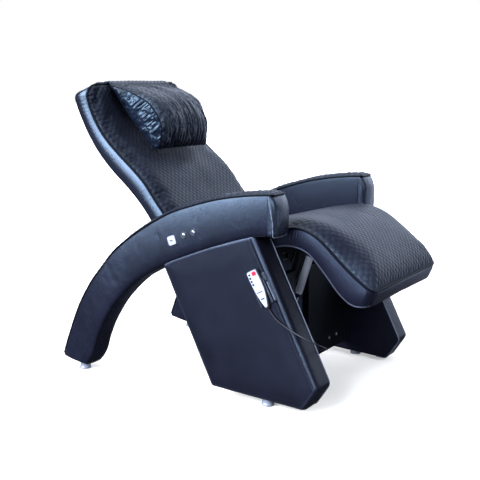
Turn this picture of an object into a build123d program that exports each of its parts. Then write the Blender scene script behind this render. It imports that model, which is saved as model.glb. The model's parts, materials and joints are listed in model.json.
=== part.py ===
from build123d import *
import os
import math

# Zero gravity recliner, millimetres, modelled partly reclined.
# +Z is up and Z = 0 is the floor. The sitter faces -Y, and +X is the sitter's left.
# X = 0 is the middle plane. Side views are written as (y, z) with y = 0 at the front
# feet; the shape helpers move them by FRONT_TO_ORIGIN, to the middle of the footprint.

os.makedirs("parts", exist_ok=True)

# ---- driving dimensions; IN, OUT, HALF and FOOT_X are distances from the middle plane ----
FRONT_TO_ORIGIN = 256.0
SIDES = (-1, 1)            # the sitter's right, then left
ARM_IN = 292.7
ARM_OUT = 390.0
ARM_COVER_T = 10.0         # foam and leather around the arm frame
PANEL_IN = 293.0           # padded side panels under the arms
PANEL_OUT = 383.0
PANEL_COVER_T = 8.0
FRAME_GAP = 0.3            # between a frame and its cover
SEAT_HALF = 281.0          # cover of the seat and back
COVER_T = 4.0
CUSHION_HALF = SEAT_HALF - COVER_T - 0.6
BOARD_HALF = 270.0         # boards and outer faces of the rails
FOOT_X = 346.0
FOOT_REAR_Y = 775.0
FOOT_HOLE_R = 6.2          # in the covers
STUD_HOLE_R = 4.1          # in the frames

PIVOT = (258.0, 376.0)     # tilt axis of the seat unit (y, z)
PIVOT_BOLT_R = 7.0
STRETCHER = (262.0, 262.0)  # rear stretcher (y, z)
STRETCHER_R = 16.0

ACT_X = -68.0              # plane of the actuator
ACT_TOP = (-20.0, 495.0)   # upper pin of the actuator (y, z)
ACT_LOW = (105.0, 105.0)   # lower pin of the actuator (y, z)
PIN_R = 5.0
UPPER_BORE_R = PIN_R + 0.05
EYE_R = 10.0               # rod end bore, wide on its pin

CROSS_Y = 22.0             # front face of the cross panel
CROSS_T = 25.0
TUBE_FRONT = CROSS_Y + CROSS_T + 0.3
TUBE_SIZE = 32.0
TUBE_WALL = 2.5
TUBE_BACK = TUBE_FRONT + TUBE_SIZE
TUBE_Z = ACT_LOW[1]
TUBE_LOW = TUBE_Z - TUBE_SIZE / 2
TUBE_HIGH = TUBE_Z + TUBE_SIZE / 2
CROSS_BOLT_X = (-211.0, -150.0, 150.0, 211.0)
CROSS_HOLE_R = 5.2

CONTROL = (346.0, 523.0)   # control plate on the right arm (y, z)
PUSH_BUTTONS = [(299.0, 544.0), (261.0, 557.0)]   # recline, raise (y, z)

# Seat and legrest stations, front to rear: (y, z) of the upper edge, of the lower edge
SEAT = [
    ((-332.9, 395.5), (-310.6, 352.0)),
    ((-288.9, 417.2), (-262.0, 351.5)),
    ((-254.4, 445.0), (-216.0, 384.0)),
    ((-219.5, 478.0), (-176.0, 431.0)),
    ((-184.1, 520.7), (-137.0, 475.0)),
    ((-148.7, 552.5), (-112.0, 499.0)),
    ((-113.1, 570.2), (-88.0, 512.0)),
    ((-77.3, 582.0), (-66.0, 518.0)),
    ((-44.8, 580.5), (-38.0, 521.0)),
    ((0.0, 568.0), (-4.0, 517.0)),
    ((100.0, 541.5), (90.0, 491.0)),
    ((200.0, 516.0), (190.0, 466.0)),
    ((300.0, 490.5), (290.0, 441.0)),
    ((364.0, 474.5), (354.0, 425.0)),
]
# Back stations, bottom to top: (y, z) of the front edge, of the rear edge
BACK = [
    ((360.0, 428.0), (418.0, 413.0)),
    ((374.0, 478.0), (437.0, 460.0)),
    ((414.0, 537.0), (474.0, 514.0)),
    ((451.3, 586.8), (510.0, 562.0)),
    ((493.2, 636.5), (541.0, 602.0)),
    ((535.0, 691.0), (582.0, 645.5)),
    ((578.0, 731.4), (620.0, 680.0)),
    ((621.5, 767.5), (664.0, 716.5)),
    ((665.9, 805.0), (708.0, 757.5)),
    ((710.0, 846.7), (752.0, 808.0)),
    ((743.0, 890.0), (788.0, 862.0)),
    ((765.0, 929.0), (812.0, 907.0)),
    ((782.0, 971.0), (836.0, 957.0)),
    ((788.0, 1003.0), (844.0, 992.0)),
    ((784.0, 1033.0), (826.0, 1013.0)),
]
# Arm outline (y, z): upper edge from the rear foot to the front, lower edge back
ARM_TOP = [
    (844.5, 50.8), (832.8, 85.0), (805.9, 153.3), (779.7, 213.1),
    (754.1, 264.7), (704.8, 340.2), (657.2, 396.2), (610.6, 449.1),
    (565.4, 487.1), (521.0, 519.0), (434.9, 572.8), (351.6, 614.6),
    (271.2, 642.0), (193.1, 664.5), (117.2, 680.2), (43.4, 690.4),
    (-20.0, 695.5),
]
ARM_LOW = [
    (-20.0, 563.6), (43.1, 557.0), (117.5, 533.3), (194.2, 508.2),
    (273.0, 479.0), (354.3, 447.0), (438.4, 403.7), (481.4, 379.8),
    (525.4, 346.6), (570.5, 305.6), (616.6, 253.0), (640.3, 217.0),
    (664.6, 173.3), (684.4, 129.8), (700.0, 82.7), (722.0, 36.0),
    (732.2, 29.5),
]
ARM = ARM_TOP + ARM_LOW
# Side panel outline (y, z); from the fifth point on it runs just under the arm
PANEL = [
    (392.0, 424.5), (200.0, 43.0), (-148.0, 20.0), (-200.0, 93.0),
    (35.8, 556.0), (117.5, 531.5), (194.2, 506.5), (273.0, 477.0),
    (354.3, 445.0),
]


# ---- shape helpers ----
def place(x, y, z):
    return Pos(x, y - FRONT_TO_ORIGIN, z)


def prism(outline, x0, x1):
    """Solid between x0 and x1 over a closed (y, z) outline."""
    line = Polyline(*[(y - FRONT_TO_ORIGIN, z) for y, z in outline], close=True)
    face = make_face(Plane.YZ.offset(x0) * line)
    return extrude(face, amount=x1 - x0, dir=(1, 0, 0))


def rod_x(centre, radius, x0, x1):
    """Round bar along X through the (y, z) centre."""
    return place(0.5 * (x0 + x1), *centre) * Rot(0, 90, 0) * Cylinder(radius, x1 - x0)


def rod_y(x, z, y0, y1, radius):
    return place(x, 0.5 * (y0 + y1), z) * Rot(90, 0, 0) * Cylinder(radius, y1 - y0)


def rod_z(x, y, z0, z1, radius):
    return place(x, y, 0.5 * (z0 + z1)) * Cylinder(radius, z1 - z0)


def box(x0, x1, y0, y1, z0, z1):
    centre = place(0.5 * (x0 + x1), 0.5 * (y0 + y1), 0.5 * (z0 + z1))
    return centre * Box(x1 - x0, y1 - y0, z1 - z0)


def span(side, inner, outer):
    """x range, low to high, between two distances from the middle on one side."""
    return (inner, outer) if side > 0 else (-outer, -inner)


def lerp(a, b, fraction):
    return (a[0] + fraction * (b[0] - a[0]), a[1] + fraction * (b[1] - a[1]))


def layer(stations, near, far, start_trim=0.0, end_trim=0.0):
    """Outline between two fractions of the thickness, its ends drawn in by the trims."""
    def edge(fraction):
        line = [lerp(a, b, fraction) for a, b in stations]
        line[0] = lerp(line[0], line[1], start_trim / math.dist(line[0], line[1]))
        line[-1] = lerp(line[-1], line[-2], end_trim / math.dist(line[-1], line[-2]))
        return line

    return edge(near) + edge(far)[::-1]


def station_point(stations, i, along, depth):
    """Point between stations i and i + 1, at a fraction of the thickness."""
    return lerp(lerp(*stations[i], depth), lerp(*stations[i + 1], depth), along)


def inset(outline, distance):
    """Closed outline moved inwards, corners mitred up to a limit."""
    count = len(outline)
    area = sum(outline[i - 1][0] * outline[i][1] - outline[i][0] * outline[i - 1][1]
               for i in range(count))
    turn = 1.0 if area > 0 else -1.0

    def normal(start, end):
        length = math.dist(start, end)
        return (-(end[1] - start[1]) / length * turn, (end[0] - start[0]) / length * turn)

    moved = []
    for i, (y, z) in enumerate(outline):
        n0 = normal(outline[i - 1], (y, z))
        n1 = normal((y, z), outline[(i + 1) % count])
        mitre = max(1.0 + n0[0] * n1[0] + n0[1] * n1[1], 0.5)
        moved.append((y + distance * (n0[0] + n1[0]) / mitre,
                      z + distance * (n0[1] + n1[1]) / mitre))
    return moved


def direction(start, end):
    length = math.dist(start, end)
    return ((end[0] - start[0]) / length, (end[1] - start[1]) / length)


def lean(down):
    """Rotation about X, in degrees, that lines -Z up with a (y, z) direction."""
    return math.degrees(math.atan2(down[0], -down[1]))


def fuse(pieces):
    result = pieces[0]
    for piece in pieces[1:]:
        result = result + piece
    return result


def save(name, pieces):
    if not isinstance(pieces, (list, tuple)):
        pieces = [pieces]
    solids = [solid for piece in pieces for solid in piece.solids()]
    shape = solids[0] if len(solids) == 1 else Compound(children=solids)
    shape.label = name
    export_step(shape, "parts/" + name + ".step")


def save_pair(name, make):
    """Save the right and left piece as one node."""
    save(name, [make(side) for side in SIDES])


# ---- arms ----
def control_pockets():
    """Pockets in the right arm for the control plate and the push buttons."""
    x0, x1 = -ARM_OUT - 5, -ARM_OUT + 24
    y, z = CONTROL
    return ([box(x0, x1, y - 18, y + 18, z - 18, z + 18)]
            + [rod_x(centre, 8.2, x0, x1) for centre in PUSH_BUTTONS])


def cut_pockets(part, side):
    if side < 0:
        for pocket in control_pockets():
            part = part - pocket
    return part


def arm_cover(side):
    """Sleeve, open at its front end behind the front cap."""
    cavity_x = span(side, ARM_IN + ARM_COVER_T, ARM_OUT - ARM_COVER_T)
    cover = prism(ARM, *span(side, ARM_IN, ARM_OUT))
    cover = cover - prism(inset(ARM, ARM_COVER_T), *cavity_x)
    cover = cover - box(*cavity_x, -30, 0, 575, 684)
    cover = cover - rod_z(side * FOOT_X, FOOT_REAR_Y, 5, 60, FOOT_HOLE_R)
    return cut_pockets(cover, side)


def arm_frame(side):
    """Arched box frame with a hollow through its middle."""
    edge = ARM_COVER_T + FRAME_GAP
    hollow = [p for p in inset(ARM, 34.0) if 20.0 < p[0] < 640.0 and p[1] > 240.0]
    frame = prism(inset(ARM, edge), *span(side, ARM_IN + edge, ARM_OUT - edge))
    frame = frame - prism(hollow, *span(side, ARM_IN + edge - 5, ARM_OUT - edge + 5))
    frame = frame - rod_z(side * FOOT_X, FOOT_REAR_Y, 5, 90, STUD_HOLE_R)
    return cut_pockets(frame, side)


def arm_pad_edge(height):
    """Upper edge of the arm raised square to itself, with its own front end."""
    line = ARM_TOP[1:]
    raised = []
    for i, (y, z) in enumerate(line):
        along = direction(line[max(i - 1, 0)], line[min(i + 1, len(line) - 1)])
        raised.append((y + height * along[1], z - height * along[0]))
    raised[-1] = (-19.5, raised[-1][1])
    return raised


def arm_top_pad(side):
    return prism(arm_pad_edge(0.3) + arm_pad_edge(9.0)[::-1],
                 *span(side, ARM_IN + ARM_COVER_T, ARM_OUT - ARM_COVER_T))


def arm_front_cap(side):
    cap = box(*span(side, ARM_IN, ARM_OUT), -50.0, -20.3, 566.0, 696.0)
    return fillet(cap.edges().filter_by(Axis.Z).sort_by(Axis.Y)[:2], 14.0)


save_pair("arm_covers", arm_cover)
save_pair("arm_frames", arm_frame)
save_pair("arm_top_pads", arm_top_pad)
save_pair("arm_front_caps", arm_front_cap)


# ---- padded side panels ----
PANEL_FRAME_EDGE = PANEL_COVER_T + FRAME_GAP


def side_panel_cover(side):
    """Shell, open along the edge under the arm."""
    cavity = inset(PANEL, PANEL_COVER_T)
    cavity_x = span(side, PANEL_IN + PANEL_COVER_T, PANEL_OUT - PANEL_COVER_T)
    lip = [cavity[i] for i in (0, 8, 7, 6, 5, 4)]
    mouth = lip + [(y, z + 40.0) for y, z in lip[::-1]]
    cover = prism(PANEL, *span(side, PANEL_IN, PANEL_OUT))
    cover = cover - prism(cavity, *cavity_x) - prism(mouth, *cavity_x)
    cover = cover - rod_x(PIVOT, 14.0, *span(side, PANEL_IN - 4, PANEL_IN + 12))
    cover = cover - rod_z(side * FOOT_X, 0, 5, 60, FOOT_HOLE_R)
    return cover - rod_x(STRETCHER, STRETCHER_R + 0.3, *span(side, 285.0, 318.0))


def side_panel_frame(side):
    """Ring frame with a socket for the rear stretcher."""
    inner = PANEL_IN + PANEL_FRAME_EDGE
    outer = PANEL_OUT - PANEL_FRAME_EDGE
    ring = prism(inset(PANEL, PANEL_FRAME_EDGE), *span(side, inner, outer))
    ring = ring - prism(inset(PANEL[:5], 52.0), *span(side, inner - 5, outer + 5))
    ring = ring - rod_z(side * FOOT_X, 0, 5, 82, STUD_HOLE_R)
    return ring - rod_x(STRETCHER, STRETCHER_R + 0.2, *span(side, 285.0, 318.0))


def pivot_block(side):
    inner, outer = PANEL_IN + PANEL_FRAME_EDGE, PANEL_IN + 46.0
    block = box(*span(side, inner, outer), 214, 286, 338, 404)
    return block - rod_x(PIVOT, PIVOT_BOLT_R + 0.2, *span(side, inner - 1, outer + 1))


save_pair("side_panel_covers", side_panel_cover)
save_pair("side_panel_frames", side_panel_frame)
save_pair("pivot_blocks", pivot_block)


# ---- cross members of the base ----
def cross_panel():
    """Panel between the side panels, with a round-bottomed slot for the actuator."""
    y0, y1 = CROSS_Y - 5, CROSS_Y + CROSS_T + 5
    slot_r, slot_z = 50, 170
    panel = box(-ARM_IN, ARM_IN, CROSS_Y, CROSS_Y + CROSS_T, 61, 407)
    slot = box(ACT_X - slot_r, ACT_X + slot_r, y0, y1, slot_z, 420)
    slot = slot + rod_y(ACT_X, slot_z, y0, y1, slot_r)
    panel = panel - slot
    for x in CROSS_BOLT_X:
        panel = panel - rod_y(x, TUBE_Z, y0, y1, CROSS_HOLE_R)
    return panel


def cross_tube():
    """Square tube behind the cross panel; it carries the lower actuator clevis."""
    tube = box(-290, 290, TUBE_FRONT, TUBE_BACK, TUBE_LOW, TUBE_HIGH)
    tube = tube - box(-291, 291, TUBE_FRONT + TUBE_WALL, TUBE_BACK - TUBE_WALL,
                      TUBE_LOW + TUBE_WALL, TUBE_HIGH - TUBE_WALL)
    for x in CROSS_BOLT_X:
        tube = tube - rod_y(x, TUBE_Z, 40, 90, CROSS_HOLE_R)
    return tube


def cross_bolt(x):
    shank = rod_y(x, TUBE_Z, CROSS_Y - 1, 84, 4.0)
    head = rod_y(x, TUBE_Z, CROSS_Y - 6.5, CROSS_Y - 0.3, 8.5)
    head = fillet(head.edges().sort_by(Axis.Y)[:1], 3.5)
    hexagon = extrude(RegularPolygon(7.5, 6), amount=3.2, both=True)
    nut = place(x, 83.0, TUBE_Z) * Rot(90, 0, 0) * hexagon
    return fuse([shank, head, nut])


save("cross_panel", cross_panel())
save("actuator_cross_tube", cross_tube())
save("cross_bolts", [cross_bolt(x) for x in CROSS_BOLT_X])
save("rear_stretcher", rod_x(STRETCHER, STRETCHER_R, -312, 312)
     - rod_x(STRETCHER, STRETCHER_R - 2.5, -313, 313))


# ---- actuator clevises and pins ----
def clevis_ears(outline, offset, pin_centre, bore_r):
    """Two 5 mm plates, each offset from the plane of the actuator."""
    ears = []
    for side in SIDES:
        x = ACT_X + side * offset
        ears.append(prism(outline, x - 2.5, x + 2.5) - rod_x(pin_centre, bore_r, x - 5, x + 5))
    return ears


def clevis_pin(centre, half, head, clip):
    """Pin with a head at -X and a clip at +X; head and clip are x ranges from ACT_X."""
    return fuse([
        rod_x(centre, PIN_R, ACT_X - half, ACT_X + half),
        rod_x(centre, 8.0, ACT_X + head[0], ACT_X + head[1]),
        rod_x(centre, 7.0, ACT_X + clip[0], ACT_X + clip[1]),
    ])


LOWER_EAR = [(79.5, 89), (79.5, 121), (105, 121), (119, 112), (119, 98), (105, 89)]
UPPER_EAR = [(-45, 523.5), (8, 515.5), (6, 498), (-12, 480), (-26, 480), (-38, 495)]
UPPER_BRIDGE = [(-44, 526.5), (7, 519.5), (6.5, 515.0), (-44.5, 522.3)]

lower_plate = box(ACT_X - 26, ACT_X + 26, TUBE_BACK + 0.1, TUBE_BACK + 4.1, TUBE_LOW, TUBE_HIGH)
save("actuator_lower_clevis",
     fuse([lower_plate] + clevis_ears(LOWER_EAR, 14.0, ACT_LOW, PIN_R)))
save("actuator_lower_pin",
     clevis_pin(ACT_LOW, half=20, head=(-24, -19.5), clip=(17.0, 19.0)))
upper_bridge = prism(UPPER_BRIDGE, ACT_X - 24, ACT_X + 24)
save("actuator_upper_clevis",
     fuse([upper_bridge] + clevis_ears(UPPER_EAR, 21.0, ACT_TOP, UPPER_BORE_R)))
save("actuator_upper_pin",
     clevis_pin(ACT_TOP, half=27, head=(-30, -26), clip=(24.5, 26.5)))


# ---- pivot bolts and sleeves ----
def pivot_bolt(side):
    """Dome head at the inner end, hexagonal nut at the outer end."""
    shank = rod_x(PIVOT, PIVOT_BOLT_R, *span(side, 240.6, 342.0))
    head = rod_x(PIVOT, 12.0, *span(side, 233.0, 240.8))
    edges = head.edges().sort_by(Axis.X)
    head = fillet(edges[:1] if side > 0 else edges[-1:], 5.0)
    nut_x0, nut_x1 = span(side, 339.4, 350.0)
    hexagon = extrude(RegularPolygon(12.5, 6), amount=nut_x1 - nut_x0)
    nut = place(nut_x0, *PIVOT) * Rot(0, 90, 0) * hexagon
    return fuse([shank, head, nut])


def pivot_sleeve(side):
    return (rod_x(PIVOT, 13.0, *span(side, 251.4, 301.2))
            - rod_x(PIVOT, PIVOT_BOLT_R + 0.05, *span(side, 250.4, 302.2)))


save_pair("pivot_bolts", pivot_bolt)
save_pair("pivot_sleeves", pivot_sleeve)

# ---- feet: glides on studs ----
# x, y and top height of each glide
FEET = [(side * FOOT_X, y, top) for side in SIDES for y, top in ((0.0, 27.0), (FOOT_REAR_Y, 30.0))]


def foot_glide(x, y, top):
    profile = Polyline((0, 0), (19, 0), (21, 2), (21, 7), (19, 10), (18.2, top - 4),
                       (16.5, top - 2), (0, top - 2), close=True)
    glide = revolve(make_face(Plane.XZ * profile), Axis.Z)
    bore = Cylinder(4.0, 30, align=(Align.CENTER, Align.CENTER, Align.MIN))
    glide = glide - Pos(0, 0, top - 12) * bore
    return place(x, y, 0) * glide


save("foot_glides", [foot_glide(*foot) for foot in FEET])
save("foot_studs", [rod_z(x, y, top - 11.8, top + 38, 3.95) for x, y, top in FEET])

# ---- electrical boxes behind the cross panel ----
supply = box(110, 240, 47.5, 92, 205, 300)
save("power_supply", fillet(supply.edges().filter_by(Axis.Y), 6))
control_box = box(-245, -135, 47.5, 82, 215, 300)
save("control_box", fillet(control_box.edges().filter_by(Axis.Y), 5))


# ---- controls on the outer face of the right arm ----
def on_control(x, shape):
    """Set a shape at the control plate, turned with it, x from the arm's outer face."""
    return place(-ARM_OUT + x, *CONTROL) * Rot(-20, 0, 0) * shape


def control_plate():
    """Rounded plate with a well behind it, open for the rocker."""
    plate = on_control(-1.0, Box(2.0, 30, 30))
    plate = fillet(plate.edges().filter_by(Axis.X), 6.0)
    plate = plate + on_control(6.0, Box(12.0, 22, 22))
    return plate - on_control(-2.0, Box(20.0, 12.4, 16.4))


def button_bezel(centre):
    bezel = (rod_x(centre, 10.5, -ARM_OUT - 2.0, -ARM_OUT - 0.2)
             + rod_x(centre, 7.9, -ARM_OUT - 1.0, -ARM_OUT + 20))
    return bezel - rod_x(centre, 6.2, -ARM_OUT - 3, -ARM_OUT + 15)


def push_button(centre):
    button = rod_x(centre, 6.0, -ARM_OUT - 3.6, -ARM_OUT + 8)
    return fillet(button.edges().sort_by(Axis.X)[:1], 1.5)


save("control_plate", control_plate())
rocker = on_control(1.5, Box(8.0, 12.0, 16.0))
save("power_button", fillet(rocker.edges().sort_by(Axis.X)[:4], 1.6))
save("button_bezels", [button_bezel(centre) for centre in PUSH_BUTTONS])
save("recline_button", push_button(PUSH_BUTTONS[0]))
save("raise_button", push_button(PUSH_BUTTONS[1]))


# ---- seat and legrest (tilting) ----
LEGREST_PART = SEAT[:7]
SEAT_PART = SEAT[6:]
# station, fraction of the way to the next, for each cross tube
SEAT_TUBES = [(1, 0.0), (4, 0.0), (9, 0.35), (12, 0.3)]
SEAT_TUBE_CENTRES = [station_point(SEAT, i, along, 0.765) for i, along in SEAT_TUBES]
ROCKER_PLATE = [
    (200, 473.5), (330, 440.5), (322, 430), (286, 372), (276, 354),
    (258, 347), (240, 354), (230, 372), (196, 462),
]


def open_cover(stations, depth):
    """Cover open on the sitter's side, cut down to a fraction of the thickness."""
    cavity = layer(stations, -0.9, depth, COVER_T, COVER_T)
    inner = SEAT_HALF - COVER_T
    return prism(layer(stations, 0.0, 1.0), -SEAT_HALF, SEAT_HALF) - prism(cavity, -inner, inner)


def seat_cover():
    """Cover with slots for the rocker plates, the upper clevis and the hip straps."""
    cover = open_cover(SEAT, 0.925)
    for side in SIDES:
        cover = cover - box(*span(side, 238, 252), 190, 345, 410, 480)
    cover = cover - box(ACT_X - 27, ACT_X + 27, -75, 64, 470, 531)
    for side in SIDES:
        cover = cover - box(*span(side, 268, 276), 340, 372, 424, 462)
    return cover


def cushion(outline):
    return prism(outline, -CUSHION_HALF, CUSHION_HALF)


def board(outline):
    return prism(outline, -BOARD_HALF, BOARD_HALF)


def seat_side_rail(side):
    return prism(layer(SEAT, 0.62, 0.91, 8.0, 7.0), *span(side, 250.2, BOARD_HALF))


def rocker_plate(side):
    """Plate on the inner face of the seat rail, bored for the pivot bush."""
    plate = prism(ROCKER_PLATE, *span(side, 243.0, 250.0))
    plate = plate - rod_x(PIVOT, 10.5, *span(side, 241.0, 252.0))
    return plate - rod_x(SEAT_TUBE_CENTRES[-1], 6.4, *span(side, 241.0, 252.0))


def pivot_bush(side):
    """Flanged at both faces of the rocker plate."""
    bush = (rod_x(PIVOT, 10.45, *span(side, 241.0, 251.2))
            + rod_x(PIVOT, 14.0, *span(side, 250.1, 251.2))
            + rod_x(PIVOT, 14.0, *span(side, 241.0, 242.9)))
    return bush - rod_x(PIVOT, PIVOT_BOLT_R + 0.06, *span(side, 240.0, 252.2))


save("seat_cover", seat_cover())
save("seat_cushion", cushion(layer(SEAT_PART, -0.30, 0.44, 1.0, 6.0)))
save("legrest_cushion", cushion(layer(LEGREST_PART, -0.30, 0.44, 6.0, 1.0)))
save("seat_deck", board(layer(SEAT_PART, 0.46, 0.60, 1.0, 6.0)))
save("legrest_board", board(layer(LEGREST_PART, 0.46, 0.60, 6.0, 1.0)))
save_pair("seat_side_rails", seat_side_rail)
save("seat_cross_tubes", [rod_x(centre, 6.2, -250.0, 250.0) for centre in SEAT_TUBE_CENTRES])
save_pair("rocker_plates", rocker_plate)
save_pair("pivot_bushes", pivot_bush)

# ---- back (tilting) ----
# station, fraction of the way to the next, for each cross tube
BACK_TUBES = [(1, 0.4), (5, 0.0), (9, 0.0), (12, 0.4)]
HIP_STRAP = [
    (300, 458), (350, 446), (392, 455), (408, 476), (443, 525), (462, 514),
    (424, 450), (405, 430), (366, 437), (352, 434), (300, 446),
]


def back_side_rail(side):
    return prism(layer(BACK, 0.62, 0.92, 8.0, 8.0), *span(side, 246.0, BOARD_HALF))


def hip_strap(side):
    """Plate that joins a seat rail to a back rail."""
    return prism(HIP_STRAP, *span(side, 270.3, 273.6))


def vibration_motors():
    motors = []
    for x in (-90.0, 90.0):
        for stations, trim in ((BACK[4:6], 8), (BACK[7:9], 6)):
            motors.append(prism(layer(stations, 0.63, 0.9, trim, trim), x - 32, x + 32))
    return motors


save("back_cover", open_cover(BACK, 0.94))
save("back_cushion", cushion(layer(BACK[1:], -0.28, 0.44, 15.0, 6.0)))
save("back_board", board(layer(BACK, 0.46, 0.60, 8.0, 6.0)))
save_pair("back_side_rails", back_side_rail)
save("back_cross_tubes", [rod_x(station_point(BACK, i, along, 0.77), 7.4, -245.8, 245.8)
                          for i, along in BACK_TUBES])
save("back_vibration_motors", vibration_motors())
save_pair("hip_straps", hip_strap)

# ---- head pillow, and the flap that hangs it from the top of the back; (y, z) ----
PILLOW = [
    (577, 800), (556, 818), (545, 848), (542, 885), (552, 925), (581, 966), (622, 992),
    (668, 1009), (724, 1017), (750, 1023), (758, 1038), (764.5, 1038), (766.5, 1004),
    (761.5, 976), (746, 938), (725, 901), (693, 862), (650, 823), (610, 803),
]
FLAP = [
    (765.3, 1040.0), (767.5, 1045.0), (774, 1047.0), (790, 1044.0), (808, 1036.5),
    (830, 1019.0), (848.5, 996.0), (843.0, 966.0), (840.0, 966.6), (845.2, 994.5),
    (827.6, 1015.4), (806, 1032.0), (789, 1040.4), (774, 1043.2), (770.6, 1042.0),
    (770.0, 1039.4),
]
save("head_pillow", prism(PILLOW, -184, 184))
save("pillow_flap", prism(FLAP, -172, 172))

# ---- actuator ----
ACT_LENGTH = math.dist(ACT_TOP, ACT_LOW)
ACT_DOWN = direction(ACT_TOP, ACT_LOW)


def act_point(down, rear):
    """(y, z) of a point so far down the actuator and to the rear of its axis."""
    return (ACT_TOP[0] + down * ACT_DOWN[0] - rear * ACT_DOWN[1],
            ACT_TOP[1] + down * ACT_DOWN[1] + rear * ACT_DOWN[0])


def act_cylinder(start, end, radius, rear=0.0):
    centre = act_point(0.5 * (start + end), rear)
    return place(ACT_X, *centre) * Rot(lean(ACT_DOWN), 0, 0) * Cylinder(radius, end - start)


def gearbox():
    """Housing with the upper lug, bored for the upper pin and the outer tube."""
    lug = rod_x(ACT_TOP, 15.0, ACT_X - 17.5, ACT_X + 17.5)
    outline = [act_point(*p) for p in ((10, -17), (12, 57), (42, 57), (42, -17))]
    gear_case = prism(outline, ACT_X - 18, ACT_X + 18)
    gear_case = fillet(gear_case.edges().filter_by(Axis.X), 6.0)
    housing = (lug + gear_case) - rod_x(ACT_TOP, UPPER_BORE_R, ACT_X - 30, ACT_X + 30)
    return housing - act_cylinder(20, 60, 13.6)


def act_motor():
    motor = act_cylinder(42.2, 152, 18.5, rear=38.0)
    return fillet(motor.edges().filter_by(GeomType.CIRCLE).sort_by(Axis.Z)[:1], 4.0)


def rod_end():
    """Socket for the rod, with the lower eye."""
    socket = (act_cylinder(ACT_LENGTH - 40, ACT_LENGTH - 10, 11.0)
              - act_cylinder(ACT_LENGTH - 41, ACT_LENGTH - 24, 8.02))
    eye = rod_x(ACT_LOW, 16.5, ACT_X - 9, ACT_X + 9) + socket
    return eye - rod_x(ACT_LOW, EYE_R, ACT_X - 12, ACT_X + 12)


save("actuator_gearbox", gearbox())
save("actuator_motor", act_motor())
save("actuator_tube", act_cylinder(20.5, 186, 13.5) - act_cylinder(20, 187, 9.6))
save("actuator_seal", act_cylinder(186.2, 198, 15.5) - act_cylinder(185, 200, 8.06))
save("actuator_rod", act_cylinder(72, ACT_LENGTH - 24, 8.0))
save("actuator_rod_end", rod_end())

# ---- handset and its holster, on the outer face of the right side panel ----
HANDSET_TOP = (34.0, 453.0)      # middle of the upper end (y, z)
HANDSET_TIP = (-27.0, 340.0)     # point that sets the slope (y, z)
HANDSET_DOWN = direction(HANDSET_TOP, HANDSET_TIP)
HANDSET_BACK_X = -PANEL_OUT - 3.6
HANDSET_FACE_X = HANDSET_BACK_X - 15.7

# Outlines in handset places: (down from the top, towards the chair's front)
HANDSET_BODY = [
    (0, -21), (-3, -17), (-3, 17), (0, 21), (36, 22.6), (70, 21.8), (100, 14.5),
    (122, 8.0), (127, 4), (127, -4), (122, -8.0), (100, -13.5), (70, -18.6), (36, -20.4),
]
HANDSET_FACE = [
    (2.5, -18), (0.5, -15.5), (0.5, 15.5), (2.5, 18), (36, 19.7), (70, 19.0), (100, 11.8),
    (120, 5.0), (123, 2.5), (123, -2.5), (120, -5.0), (100, -10.8), (70, -15.8), (36, -17.6),
]
# Holster: down from, to; towards the front from, to; from the panel face outwards from, to
HOLSTER = [
    (18, 118, -25, 38, 0.2, 3.2),        # back plate
    (40, 118, 24.2, 27.8, 3.2, 16),      # front wall
    (66, 118, -24.0, -20.8, 3.2, 14),    # rear wall
    (51, 114, 30.2, 33.0, 3.2, 7),       # strip in front of the front wall
]
# Cord centreline (x, y, z)
CORD = [
    (-391.0, -30.5, 331.5), (-392.0, -54.5, 306.0), (-390.5, -89.0, 284.5),
    (-389.5, -125.0, 268.0), (-383.0, -158.0, 252.0), (-352.0, -176.0, 228.0),
    (-310.0, -170.0, 205.0), (-286.0, -150.0, 196.0), (-280.0, -128.0, 225.0),
    (-279.0, -100.0, 275.0), (-276.0, -60.0, 318.0), (-262.0, -10.0, 330.0),
    (-240.0, 14.0, 330.0),
]
# Buttons: place on the handset, and size as (across, along)
POWER_AT = (10.5, 8.2)
POWER_SIZE = (15.0, 13.0)
SMALL_AT = [(9.5, -10.0), (20.5, -11.5), (31.5, -11.5), (42.5, -11.0)]
SMALL_SIZE = (6.0, 5.0)
POCKET_PLAY = 0.4          # pocket size over button size


def handset_point(down, front):
    return (HANDSET_TOP[0] + down * HANDSET_DOWN[0] + front * HANDSET_DOWN[1],
            HANDSET_TOP[1] + down * HANDSET_DOWN[1] - front * HANDSET_DOWN[0])


def handset_prism(outline, x0, x1):
    return prism([handset_point(*p) for p in outline], x0, x1)


def holster_piece(down0, down1, front0, front1, out0, out1):
    outline = [(down0, front0), (down0, front1), (down1, front1), (down1, front0)]
    return handset_prism(outline, -PANEL_OUT - out1, -PANEL_OUT - out0)


def handset_cord():
    path = Spline(*[(x, y - FRONT_TO_ORIGIN, z) for x, y, z in CORD])
    return sweep(Plane(origin=path @ 0, z_dir=path % 0) * Circle(2.2), path=path)


def handset_key(at, size, proud, depth=5.0):
    """Rounded block standing proud of the handset face and reaching depth into it."""
    block = Box(proud + depth, *size)
    block = fillet(block.edges().filter_by(Axis.X), min(size) * 0.3)
    x = HANDSET_FACE_X + 0.5 * (depth - proud)
    return place(x, *handset_point(*at)) * Rot(lean(HANDSET_DOWN), 0, 0) * block


def cut_key_pockets(part):
    for at, size in [(POWER_AT, POWER_SIZE)] + [(at, SMALL_SIZE) for at in SMALL_AT]:
        pocket_size = [length + POCKET_PLAY for length in size]
        part = part - handset_key(at, pocket_size, proud=3.0, depth=8.0)
    return part


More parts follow.
